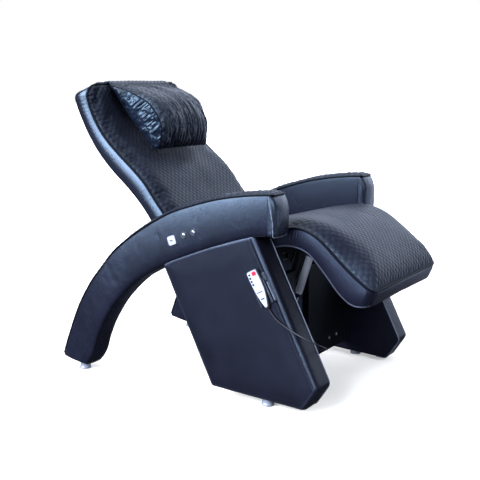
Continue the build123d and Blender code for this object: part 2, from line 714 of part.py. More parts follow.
save("handset_holster", fuse([holster_piece(*row) for row in HOLSTER]))
save("handset_cord", handset_cord())
body = handset_prism(HANDSET_BODY, HANDSET_BACK_X - 14.5, HANDSET_BACK_X)
body = chamfer(body.faces().sort_by(Axis.X)[0].edges(), 1.5)
save("handset_body", cut_key_pockets(body))
face_plate = handset_prism(HANDSET_FACE, HANDSET_FACE_X, HANDSET_BACK_X - 14.6)
save("handset_face", cut_key_pockets(face_plate))
save("handset_power_button", handset_key(POWER_AT, POWER_SIZE, proud=1.4))
for number, small_at in enumerate(SMALL_AT, start=1):
    save("handset_button_%d" % number, handset_key(small_at, SMALL_SIZE, proud=1.3))
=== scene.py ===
"""Motorised recliner armchair in black quilted leather: seat with legrest, back, head
pillow, two arms on side panels, and a wired handset on the right side.

The chair stands on z = 0 and faces -Y; its right arm is at -X. Shapes are written in
millimetres with y measured from the front feet; add_solid turns them into metres about
the frame's origin. A "profile" is a pair of (y, z) edges: the padded "top" edge and the
"base" edge behind it.
"""
import json
import math
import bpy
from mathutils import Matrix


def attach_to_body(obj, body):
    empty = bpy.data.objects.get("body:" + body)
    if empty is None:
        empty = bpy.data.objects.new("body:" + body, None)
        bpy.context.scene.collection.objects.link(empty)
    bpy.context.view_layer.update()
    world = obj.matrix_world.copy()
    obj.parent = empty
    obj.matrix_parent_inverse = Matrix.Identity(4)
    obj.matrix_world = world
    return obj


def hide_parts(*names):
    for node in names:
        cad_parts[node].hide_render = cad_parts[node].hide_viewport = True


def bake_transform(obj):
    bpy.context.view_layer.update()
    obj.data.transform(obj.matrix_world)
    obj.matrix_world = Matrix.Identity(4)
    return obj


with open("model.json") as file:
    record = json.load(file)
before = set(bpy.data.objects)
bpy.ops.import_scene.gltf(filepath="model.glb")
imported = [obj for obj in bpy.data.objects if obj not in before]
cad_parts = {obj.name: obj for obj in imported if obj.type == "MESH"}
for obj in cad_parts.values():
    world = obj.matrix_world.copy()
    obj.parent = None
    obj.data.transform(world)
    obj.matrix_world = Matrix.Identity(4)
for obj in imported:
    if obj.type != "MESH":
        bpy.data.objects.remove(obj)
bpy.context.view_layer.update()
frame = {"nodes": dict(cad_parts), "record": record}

from types import SimpleNamespace

import bmesh
import bpy
import numpy as np
from mathutils import Matrix, Vector
from mathutils.geometry import delaunay_2d_cdt

NODES = frame["nodes"]

FEET_Y = 256.0                      # subtracted from y to reach the frame's origin
SIDES = (("right", -1), ("left", 1))
ARM_IN, ARM_OUT = 292.7, 390.0      # |x| of the arm's two faces
PANEL_IN, PANEL_OUT = 293.0, 383.0  # |x| of the side panel's two faces
HALF_WIDTH = 281.0                  # of the seat and back

# Stations: (top y, top z, base y, base z).
# Seat, from the tip of the legrest to the rear.
SEAT_STATIONS = [
    (-331.9, 401.5, -310.6, 352.0), (-288.9, 431.2, -262.0, 351.5), (-254.4, 458.0, -216.0, 384.0),
    (-219.5, 487.5, -176.0, 431.0), (-184.1, 520.0, -137.0, 475.0), (-148.7, 550.5, -112.0, 499.0),
    (-113.1, 571.0, -88.0, 512.0), (-77.3, 581.0, -66.0, 518.0), (-44.8, 580.5, -38.0, 521.0),
    (0.0, 568.0, -4.0, 517.0), (100.0, 541.5, 90.0, 491.0), (200.0, 516.0, 190.0, 466.0),
    (300.0, 490.5, 290.0, 441.0), (364.0, 474.5, 354.0, 425.0),
]
# Back, from its upper end down; the "top" edge is its front face.
BACK_STATIONS = [
    (784.0, 1033.0, 826.0, 1013.0), (788.0, 1003.0, 844.0, 992.0), (782.0, 971.0, 836.0, 957.0),
    (765.0, 929.0, 812.0, 907.0), (743.0, 890.0, 788.0, 862.0), (710.0, 846.7, 752.0, 808.0),
    (665.9, 805.0, 708.0, 757.5), (621.5, 767.5, 664.0, 716.5), (578.0, 731.4, 620.0, 680.0),
    (535.0, 691.0, 582.0, 645.5), (493.2, 636.5, 541.0, 602.0), (451.3, 586.8, 510.0, 562.0),
    (414.0, 537.0, 474.0, 514.0), (374.0, 478.0, 437.0, 460.0), (360.0, 428.0, 418.0, 413.0),
]
# Arm, from its rear foot up and forward to the front cap.
ARM_STATIONS = [
    (844.5, 50.8, 732.2, 29.5), (832.8, 85.0, 704.0, 72.0), (805.9, 153.3, 687.0, 122.0),
    (779.7, 213.1, 664.6, 173.3), (754.1, 264.7, 641.0, 214.0), (704.8, 340.2, 601.0, 271.0),
    (657.2, 396.2, 560.0, 315.0), (610.6, 449.1, 519.0, 352.0), (565.4, 487.1, 481.4, 379.8),
    (521.0, 519.0, 438.4, 403.7), (434.9, 572.8, 369.0, 440.5), (351.6, 614.6, 300.0, 468.5),
    (271.2, 642.0, 233.0, 495.0), (193.1, 664.5, 165.0, 518.5), (117.2, 680.2, 100.0, 540.0),
    (43.4, 690.4, 40.0, 556.0), (-20.0, 695.5, -20.0, 563.6),
]
# Side panel outline (y, z), starting at the upper rear corner.
PANEL_POINTS = [
    (392.0, 424.5), (200.0, 43.0), (-148.0, 20.0), (-200.0, 93.0), (35.8, 556.0),
    (117.5, 531.5), (194.2, 506.5), (273.0, 477.0), (354.3, 445.0),
]


def grade(full):
    """Mesh density, used as given."""
    return full


# --- curves and noise ---------------------------------------------------------
def spline(points, per_span):
    """Catmull-Rom curve through points."""
    points = np.asarray(points, float)
    padded = np.vstack([2 * points[0] - points[1], points, 2 * points[-1] - points[-2]])
    part = np.linspace(0, 1, per_span, endpoint=False)[:, None]
    spans = []
    for i in range(len(points) - 1):
        before, start, end, after = padded[i:i + 4]
        spans.append(0.5 * ((2 * start) + (-before + end) * part
                            + (2 * before - 5 * start + 4 * end - after) * part ** 2
                            + (-before + 3 * start - 3 * end + after) * part ** 3))
    spans.append(points[-1:])
    return np.vstack(spans)


def smooth(rows, rounds):
    """Light smoothing along the first axis, ends kept."""
    rows = rows.copy()
    for _ in range(rounds):
        rows[1:-1] = 0.25 * rows[:-2] + 0.5 * rows[1:-1] + 0.25 * rows[2:]
    return rows


def arc_length(points):
    steps = np.linalg.norm(np.diff(points, axis=0), axis=1)
    return np.concatenate([[0], np.cumsum(steps)])


def sample(rows, run, places):
    """Rows known at run, interpolated at places."""
    return np.stack([np.interp(places, run, column) for column in rows.T], axis=1)


def edge_normals(edge, inner):
    """Unit normals of an open (y, z) edge, pointing away from the inner points."""
    tangent = np.gradient(edge, axis=0)
    tangent /= np.linalg.norm(tangent, axis=1)[:, None]
    normal = np.stack([-tangent[:, 1], tangent[:, 0]], axis=1)
    facing = np.sign(np.sum(normal * (edge - inner), axis=1))
    return normal * np.median(facing)


def profile(stations, step, rounds=60, trim=0.0):
    """Smoothed stations at even steps along the top edge, cut short by trim."""
    rows = smooth(spline(stations, 24), rounds)
    run = arc_length(rows[:, :2])
    along = np.linspace(0, run[-1], max(8, int(round(run[-1] / step))) + 1)
    rows = sample(rows, run, along)
    keep = along <= along[-1] - trim
    along, top, base = along[keep], rows[keep, :2], rows[keep, 2:]
    depth = np.linalg.norm(base - top, axis=1)
    return SimpleNamespace(along=along, top=top, base=base, depth=depth,
                           down=(base - top) / depth[:, None], normal=edge_normals(top, base))


def value_noise(x, y, seed, octaves=1):
    """Smooth seeded 2D noise, about -1..1 per octave."""
    table = np.random.default_rng(1000 + seed).uniform(-1, 1, (64, 64))
    total, gain = 0.0, 1.0
    for _ in range(octaves):
        x_cell, y_cell = np.floor(x).astype(int), np.floor(y).astype(int)
        x_part, y_part = x - x_cell, y - y_cell
        x_part = x_part * x_part * (3 - 2 * x_part)
        y_part = y_part * y_part * (3 - 2 * y_part)
        x_here, x_next = x_cell % 64, (x_cell + 1) % 64
        y_here, y_next = y_cell % 64, (y_cell + 1) % 64
        lower = table[x_here, y_here] * (1 - x_part) + table[x_next, y_here] * x_part
        upper = table[x_here, y_next] * (1 - x_part) + table[x_next, y_next] * x_part
        total = total + gain * (lower * (1 - y_part) + upper * y_part)
        x, y, gain = x * 2.03 + 11.3, y * 2.03 + 5.7, gain * 0.5
    return total


def ease(start, end, x):
    """Smooth step from 0 at start to 1 at end."""
    part = np.clip((x - start) / (end - start), 0, 1)
    return part * part * (3 - 2 * part)


def bell(x, centre, width):
    return np.exp(-((x - centre) / width) ** 2)


def lookup(x, table):
    """Linear interpolation in a table of (x, value) pairs."""
    return np.interp(x, *np.transpose(table))


def puckers(phase, distance, reach, seam=5.0):
    """Waves beside a seam: nothing in the seam itself, dying away over reach."""
    return np.sin(2 * np.pi * phase) * np.exp(-distance / reach) * ease(0, seam, distance)


def edge_crown(distance, width, power=2.2):
    """Rounded rise from 0 at an edge to 1 at width from it."""
    return 1 - (1 - np.clip(distance / width, 0, 1)) ** power


def quilt_height(along, across):
    """Stitched diamonds: 0 in the stitch lines, 1 on the crests."""
    x_part, along_part = across / 23.0, along / 25.0        # the divisors are the cell size
    waves = (np.abs(np.sin(np.pi * (x_part + along_part)))
             * np.abs(np.sin(np.pi * (x_part - along_part))))
    return waves ** 0.62


# --- solids -------------------------------------------------------------------
def add_solid(name, vertices, faces, material, attributes=None):
    """Smooth-shaded object with outward normals, from millimetre vertices."""
    coords = np.array(vertices, float)
    coords[:, 1] -= FEET_Y
    coords /= 1000.0
    mesh = bpy.data.meshes.new(name)
    mesh.from_pydata(coords.tolist(), [], faces)
    mesh.validate()
    mesh.update()
    for key, values in (attributes or {}).items():
        layer = mesh.attributes.new(key, "FLOAT", "POINT")
        layer.data.foreach_set("value", np.asarray(values, np.float32).ravel())
    solid = bpy.data.objects.new(name, mesh)
    bpy.context.scene.collection.objects.link(solid)
    mesh.materials.append(material)
    mesh.polygons.foreach_set("use_smooth", [True] * len(mesh.polygons))
    editable = bmesh.new()
    editable.from_mesh(mesh)
    bmesh.ops.recalc_face_normals(editable, faces=editable.faces)
    editable.to_mesh(mesh)
    editable.free()
    return solid


def attach(solid, body, slot, *replaced):
    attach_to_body(solid, body)
    if replaced:
        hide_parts(*replaced)


def grid_faces(rows, columns, wrap=False):
    """Quads of a grid; wrap joins the last column to the first."""
    i = np.arange(rows - 1)[:, None] * columns
    j = np.arange(columns if wrap else columns - 1)[None, :]
    j_next = (j + 1) % columns
    corners = [i + j, i + j_next, i + columns + j_next, i + columns + j]
    return np.stack(corners, axis=-1).reshape(-1, 4).tolist()


def closed_pad(name, grid, left_x, right_x, low_edge, material, attributes):
    """Solid under an open top grid: side walls down to a low (y, z) edge at two x lines,
    and one strip underneath."""
    rows, columns = grid.shape[:2]
    left = rows * columns
    right = left + rows
    vertices = np.vstack([grid.reshape(-1, 3), np.column_stack([left_x, low_edge]),
                          np.column_stack([right_x, low_edge])])
    faces = grid_faces(rows, columns)
    for i in range(rows - 1):
        here, after = i * columns, (i + 1) * columns
        faces.append([here, after, left + i + 1, left + i])
        faces.append([after + columns - 1, here + columns - 1, right + i, right + i + 1])
        faces.append([left + i, left + i + 1, right + i + 1, right + i])
    faces.append([left] + list(range(columns)) + [right])
    last_row = list(range((rows - 1) * columns, rows * columns))
    faces.append([right + rows - 1] + last_row[::-1] + [left + rows - 1])
    attributes = {key: np.concatenate([values.ravel(), np.zeros(2 * rows)])
                  for key, values in attributes.items()}
    return add_solid(name, vertices, faces, material, attributes)


def closed_tube(name, rings, material, attributes=None):
    """Solid from rings (rows, points, 3) with a flat cap at both ends."""
    rows, points = rings.shape[:2]
    faces = grid_faces(rows, points, wrap=True)
    faces.append(list(range(points)))
    faces.append(list(range((rows - 1) * points, rows * points))[::-1])
    return add_solid(name, rings.reshape(-1, 3), faces, material, attributes)


def perpendicular(vector, axis):
    """Unit vector along the part of vector that is square to axis."""
    vector = vector - np.dot(vector, axis) * axis
    return vector / np.linalg.norm(vector)


def cord(name, path, radius, material, sides, closed=False):
    """Round cord along a 3D path; radius is one value or one per point."""
    path = np.asarray(path, float)
    count = len(path)
    if closed:
        tangent = np.roll(path, -1, 0) - np.roll(path, 1, 0)
    else:
        tangent = np.gradient(path, axis=0)
    tangent /= np.linalg.norm(tangent, axis=1)[:, None]
    spoke = np.array([1.0, 0, 0]) if abs(tangent[0][0]) < 0.8 else np.array([0, 0, 1.0])
    spokes = []
    for direction in tangent:
        spoke = perpendicular(spoke, direction)
        spokes.append(spoke)
    spokes = np.array(spokes)
    if closed:
        # spread the leftover twist along the loop
        end = perpendicular(spokes[-1], tangent[0])
        side = np.cross(tangent[0], spokes[0])
        twist = math.atan2(np.dot(end, side), np.dot(end, spokes[0]))
        turn = (-twist * np.linspace(0, 1, count))[:, None]
        spokes = spokes * np.cos(turn) + np.cross(tangent, spokes) * np.sin(turn)
    binormal = np.cross(tangent, spokes)
    angle = np.linspace(0, 2 * np.pi, sides, endpoint=False)[None, :, None]
    radius = np.broadcast_to(radius, (count,))[:, None, None]
    rings = path[:, None, :] + radius * (np.cos(angle) * spokes[:, None, :]
                                         + np.sin(angle) * binormal[:, None, :])
    if not closed:
        return closed_tube(name, rings, material)
    faces = grid_faces(count, sides, wrap=True)
    last = (count - 1) * sides
    for j in range(sides):
        j_next = (j + 1) % sides
        faces.append([last + j, last + j_next, j_next, j])
    return add_solid(name, rings.reshape(-1, 3), faces, material)


# --- outlines and slabs -------------------------------------------------------
def round_outline(points, radii, step):
    """Closed outline with rounded corners, resampled at even steps."""
    points = [np.array(point, float) for point in points]
    count = len(points)
    if np.isscalar(radii):
        radii = [radii] * count
    rounded = []
    for i, (corner, radius) in enumerate(zip(points, radii)):
        back, ahead = points[i - 1] - corner, points[(i + 1) % count] - corner
        back_length, ahead_length = np.linalg.norm(back), np.linalg.norm(ahead)
        back, ahead = back / back_length, ahead / ahead_length
        half = 0.5 * math.acos(np.clip(np.dot(back, ahead), -1, 1))
        if radius <= 0 or half > math.pi / 2 - 0.02:
            rounded.append(corner)
            continue
        reach = min(radius / math.tan(half), 0.45 * back_length, 0.45 * ahead_length)
        radius = reach * math.tan(half)
        steps = max(3, int(radius * (math.pi - 2 * half) / step) + 2)
        bisector = (back + ahead) / np.linalg.norm(back + ahead)
        centre = corner + bisector * (radius / math.sin(half))
        start, end = corner + back * reach - centre, corner + ahead * reach - centre
        first, last = math.atan2(start[1], start[0]), math.atan2(end[1], end[0])
        sweep = (last - first + math.pi) % (2 * math.pi) - math.pi
        for part in np.linspace(0, 1, steps):
            angle = first + part * sweep
            rounded.append(centre + radius * np.array([math.cos(angle), math.sin(angle)]))
    rounded = np.array(rounded)
    loop = np.vstack([rounded, rounded[:1]])
    run = arc_length(loop)
    even = np.linspace(0, run[-1], max(24, int(run[-1] / step)), endpoint=False)
    return sample(loop, run, even)


def inset_loop(loop, distance):
    """Dense closed outline moved inwards."""
    following = np.roll(loop, -1, 0)
    tangent = following - np.roll(loop, 1, 0)
    tangent /= np.linalg.norm(tangent, axis=1)[:, None]
    normal = np.stack([-tangent[:, 1], tangent[:, 0]], axis=1)
    area = 0.5 * np.sum(loop[:, 0] * following[:, 1] - following[:, 0] * loop[:, 1])
    if area < 0:
        normal = -normal
    return loop + normal * distance


def outline_distance(points, loop):
    """Distance from (y, z) points to a closed outline."""
    edges = np.roll(loop, -1, 0) - loop
    squares = np.maximum(np.sum(edges * edges, axis=1), 1e-9)
    best = np.full(len(points), 1e9)
    for start, edge, square in zip(loop, edges, squares):
        part = np.clip(((points - start) @ edge) / square, 0, 1)
        gap = points - start - part[..., None] * edge
        best = np.minimum(best, np.hypot(gap[..., 0], gap[..., 1]))
    return best


def is_inside(y, z, loop):
    """Even-odd test of points against a closed outline."""
    result = np.zeros(y.shape, bool)
    for (y_start, z_start), (y_end, z_end) in zip(loop, np.roll(loop, -1, 0)):
        if z_start == z_end:
            continue
        crossing = y < (y_end - y_start) * (z - z_start) / (z_end - z_start) + y_start
        result ^= ((z_start > z) != (z_end > z)) & crossing
    return result


def face_points(rim, bands):
    """Staggered points inside a rim, for bands of (from distance, to distance, spacing)."""
    chosen = []
    low, high = rim.min(0), rim.max(0)
    for nearest, farthest, spacing in bands:
        y, z = np.meshgrid(np.arange(low[0], high[0], spacing),
                           np.arange(low[1], high[1], spacing * 0.87))
        y = y + (np.arange(y.shape[0]) % 2)[:, None] * spacing * 0.5
        y, z = y.ravel(), z.ravel()
        points = np.column_stack([y, z])[is_inside(y, z, rim)]
        distance = outline_distance(points, rim)
        chosen.append(points[(distance >= nearest) & (distance < farthest)])
    return np.vstack(chosen)


def slab(name, outline, x_in, x_out, material, round_in, round_out, edge_steps,
         round_out_x=None, puff_in=0.0, puff_out=0.0, relief=None, bands=None, painted_sheen=False):
    """Plate: a (y, z) outline given a thickness along x, with rounded edges.
    relief(y, z, face) adds to the padded faces; face is -1 at x_in and 1 at x_out."""
    outline = np.asarray(outline, float)
    count = len(outline)
    sign = 1.0 if x_out > x_in else -1.0
    round_out_x = round_out_x or round_out
    loops, shine = [], []
    for part in np.linspace(0, 1, edge_steps + 1):
        angle = part * math.pi / 2
        x = x_in + sign * round_in * (1 - math.cos(angle))
        loops.append((x, inset_loop(outline, round_in * (1 - math.sin(angle)))))
        shine += [0.0] * count
    # the outer rounded edge gets a painted highlight in the shine list
    for k, part in enumerate(np.linspace(0, 1, edge_steps + 1)):
        angle = (1 - part) * math.pi / 2
        x = x_out - sign * round_out_x * (1 - math.cos(angle))
        loops.append((x, inset_loop(outline, round_out * (1 - math.sin(angle)))))
        shine += [float(ease(0.35, 0.8, k / edge_steps))] * count
    vertices = np.vstack([np.column_stack([np.full(count, x), loop])
                          for x, loop in loops]).tolist()
    faces = grid_faces(len(loops), count, wrap=True)
    size = math.sqrt(np.prod(outline.max(0) - outline.min(0)))
    bands = bands or ((size * 0.02, 1e9, size * 0.05),)
    rim_edges = [(i, (i + 1) % count) for i in range(count)]
    for face, first, rim, face_x, puff in (
            (-1, 0, loops[0][1], x_in, puff_in),
            (1, (len(loops) - 1) * count, loops[-1][1], x_out, puff_out)):
        points = np.vstack([rim, face_points(rim, bands)])
        flat, _, triangles, sources, _, _ = delaunay_2d_cdt(
            [Vector((float(y), float(z))) for y, z in points], rim_edges, [], 1, 1e-4, True)
        flat = np.array([[point.x, point.y] for point in flat])
        distance = outline_distance(flat, rim)
        rise = puff * (1 - (1 - np.clip(distance / 70.0, 0, 1)) ** 2)
        if relief is not None:
            rise = rise + relief(flat[:, 0], flat[:, 1], face) * np.clip(distance / 4.0, 0, 1)
        x = face_x + face * sign * rise
        index = []
        for k, source in enumerate(sources):
            on_rim = [i for i in source if i < count]
            if on_rim:
                index.append(first + on_rim[0])
            else:
                index.append(len(vertices))
                vertices.append([float(x[k]), float(flat[k, 0]), float(flat[k, 1])])
                # painted highlight within 5 mm of the outer face's rim
                shine.append(max(0.0, 1.0 - float(distance[k]) / 5.0) if face > 0 else 0.0)
        faces += [[index[i] for i in triangle] for triangle in triangles]
    return add_solid(name, vertices, faces, material,
                     {"painted_sheen": np.array(shine)} if painted_sheen else None)


# --- shader helpers -----------------------------------------------------------
def feed(target, inputs):
    """Set a node's inputs; sockets are linked, other values are stored."""
    for key, value in inputs.items():
        if isinstance(value, bpy.types.NodeSocket):
            target.id_data.links.new(value, target.inputs[key])
        else:
            target.inputs[key].default_value = value


def node(tree, kind, inputs=None, **properties):
    made = tree.nodes.new(kind)
    for key, value in properties.items():
        setattr(made, key, value)
    feed(made, inputs or {})
    return made


def map_range(tree, value, from_min=0.0, from_max=1.0, to_min=0.0, to_max=1.0, **properties):
    inputs = {0: value, 1: from_min, 2: from_max, 3: to_min, 4: to_max}
    return node(tree, "ShaderNodeMapRange", inputs, **properties).outputs[0]


def noise(tree, vector, scale, detail, roughness=0.5, distortion=0.0, output="Fac"):
    inputs = {"Vector": vector, "Scale": scale, "Detail": detail, "Roughness": roughness,
              "Distortion": distortion}
    return node(tree, "ShaderNodeTexNoise", inputs).outputs[output]


def bump_normal(tree, height, strength, distance, **under):
    inputs = {"Strength": strength, "Distance": distance, "Height": height}
    return node(tree, "ShaderNodeBump", {**inputs, **under}).outputs[0]


def colour_ramp(tree, factor, *stops):
    """Ramp through two (position, rgb) stops."""
    ramp = node(tree, "ShaderNodeValToRGB", {0: factor})
    for element, (position, colour) in zip(ramp.color_ramp.elements, stops):
        element.position = position
        element.color = (*colour, 1)
    return ramp.outputs["Color"]


def mix_colour(tree, blend_type, factor, first, second):
    return node(tree, "ShaderNodeMix", {0: factor, 6: first, 7: second},
                data_type="RGBA", blend_type=blend_type).outputs[2]


def math_node(tree, operation, *values):
    return node(tree, "ShaderNodeMath", dict(enumerate(values)), operation=operation).outputs[0]


def attribute(tree, name):
    return node(tree, "ShaderNodeAttribute", attribute_name=name).outputs["Fac"]


def empty_tree(owner):
    owner.use_nodes = True
    owner.node_tree.nodes.clear()
    return owner.node_tree


def new_surface(name):
    """Material with a bare principled shader, and the object coordinates."""
    material = bpy.data.materials.new(name)
    tree = empty_tree(material)
    output = node(tree, "ShaderNodeOutputMaterial")
    shader = node(tree, "ShaderNodeBsdfPrincipled")
    feed(output, {0: shader.outputs[0]})
    place = node(tree, "ShaderNodeTexCoord").outputs["Object"]
    return material, tree, shader, place


def dimmed(colour, factor):
    return tuple(part * factor for part in colour)


# --- finishes -----------------------------------------------------------------
def leather(name, base, light, rough, tint=(0.72, 0.84, 1.0), spec=0.5, bump=0.25,
            quilt=False, wrinkle=0.0, painted_sheen=None):
    """Upholstery leather: pebble grain, fine pores and a slow drift from base to light. quilt paints
    shade into the quilting valleys besides darkening the stitch lines; the last argument is the
    specular level of the painted highlights, laid on by a mesh attribute."""
    material, tree, shader, place = new_surface(name)
    wobble = noise(tree, place, scale=260.0, detail=3.0, output="Color")
    warped = node(tree, "ShaderNodeVectorMath", {0: wobble, 1: (0.0016,) * 3, 2: place},
                  operation="MULTIPLY_ADD").outputs[0]
    cells = node(tree, "ShaderNodeTexVoronoi", {"Vector": warped, "Scale": 620.0},
                 feature="DISTANCE_TO_EDGE")
    pebbles = map_range(tree, cells.outputs["Distance"], from_max=0.32)
    pores = noise(tree, place, scale=2200.0, detail=2.0)
    drift = noise(tree, place, scale=9.0, detail=4.0, roughness=0.6)
    colour = colour_ramp(tree, drift, (0.30, base), (0.72, light))
    # the valleys of the grain are a little darker
    colour = mix_colour(tree, "MULTIPLY", 0.35, colour, pebbles)
    roughness = map_range(tree, drift, to_min=rough[0], to_max=rough[1])
    if quilt:
        # painted shade: darker, rougher leather down the quilting valleys and in the stitch lines,
        # from the quilt attribute
        valley_shade = map_range(tree, attribute(tree, "quilt"), from_max=0.75, to_min=1.0, to_max=0.0)
        colour = mix_colour(tree, "MIX", valley_shade, colour, (*dimmed(base, 0.42), 1))
        roughness = math_node(tree, "MULTIPLY_ADD", valley_shade, 0.25, roughness)
    height = math_node(tree, "MULTIPLY_ADD", pores, 0.25, pebbles)
    normal = bump_normal(tree, height, strength=bump, distance=0.0006)
    if wrinkle > 0:
        folds = noise(tree, place, scale=22.0, detail=5.0, roughness=0.55, distortion=0.6)
        normal = bump_normal(tree, folds, strength=wrinkle, distance=0.006, Normal=normal)
    feed(shader, {"Base Color": colour, "Roughness": roughness, "Normal": normal,
                  "Specular IOR Level": spec, "Specular Tint": (*tint, 1)})
    # painted sheen: the specular level follows a mesh attribute laid on where highlights and shade
    # are painted
    if painted_sheen is not None:
        level = map_range(tree, attribute(tree, "painted_sheen"), to_min=spec, to_max=painted_sheen)
        feed(shader, {"Specular IOR Level": level})
    return material


def plastic(name, colour, rough, bump=0.06, scale=900.0, spec=0.5, var=0.12):
    """Moulded or painted surface: fine grain, colour varied by the share var."""
    material, tree, shader, place = new_surface(name)
    grain = noise(tree, place, scale=scale, detail=3.0)
    drift = noise(tree, place, scale=30.0, detail=4.0)
    light = tuple(min(1, part * (1 + var)) for part in colour)
    feed(shader, {
        "Base Color": colour_ramp(tree, drift, (0.35, dimmed(colour, 1 - var)), (0.65, light)),
        "Roughness": map_range(tree, drift, to_min=rough * 0.85, to_max=rough * 1.15),
        "Normal": bump_normal(tree, grain, strength=bump, distance=0.0003),
        "Specular IOR Level": spec})
    return material


def metal(name, colour, rough, brush=0.0):
    """Bare metal; brush stretches the grain along z and deepens it."""
    material, tree, shader, place = new_surface(name)
    scale = (900.0, 900.0, 12.0 if brush > 0 else 900.0)
    mapping = node(tree, "ShaderNodeMapping", {"Vector": place, "Scale": scale})
    grain = noise(tree, mapping.outputs[0], scale=1.0, detail=3.0)
    drift = noise(tree, place, scale=45.0, detail=5.0)
    feed(shader, {
        "Base Color": colour_ramp(tree, drift, (0.3, dimmed(colour, 0.88)), (0.7, colour)),
        "Metallic": 1.0,
        "Roughness": map_range(tree, drift, to_min=rough * 0.7, to_max=rough * 1.4),
        "Normal": bump_normal(tree, grain, strength=0.04 + brush, distance=0.0002)})
    return material


def wood(name, dark, light):
    """Wood with its grain along y."""
    material, tree, shader, place = new_surface(name)
    mapping = node(tree, "ShaderNodeMapping", {"Vector": place, "Scale": (60.0, 6.0, 60.0)})
    grain = noise(tree, mapping.outputs[0], scale=1.0, detail=6.0, distortion=1.2)
    feed(shader, {"Base Color": colour_ramp(tree, grain, (0.3, dark), (0.7, light)),
                  "Roughness": 0.6,
                  "Normal": bump_normal(tree, grain, strength=0.15, distance=0.0004)})
    return material


def fabric(name, colour):
    """Woven dust cover: two crossed sets of threads."""
    material, tree, shader, place = new_surface(name)
    threads = [node(tree, "ShaderNodeTexWave",
                    {"Vector": place, "Scale": 1400.0 / 6.0, "Distortion": 0.6},
                    wave_type="BANDS", bands_direction=axis).outputs["Fac"] for axis in "XY"]
    weave = math_node(tree, "MULTIPLY", *threads)
    feed(shader, {"Base Color": colour_ramp(tree, weave, (0.0, dimmed(colour, 0.5)),
                                            (1.0, colour)),
                  "Roughness": 0.95,
                  "Normal": bump_normal(tree, weave, strength=0.4, distance=0.0006)})
    return material


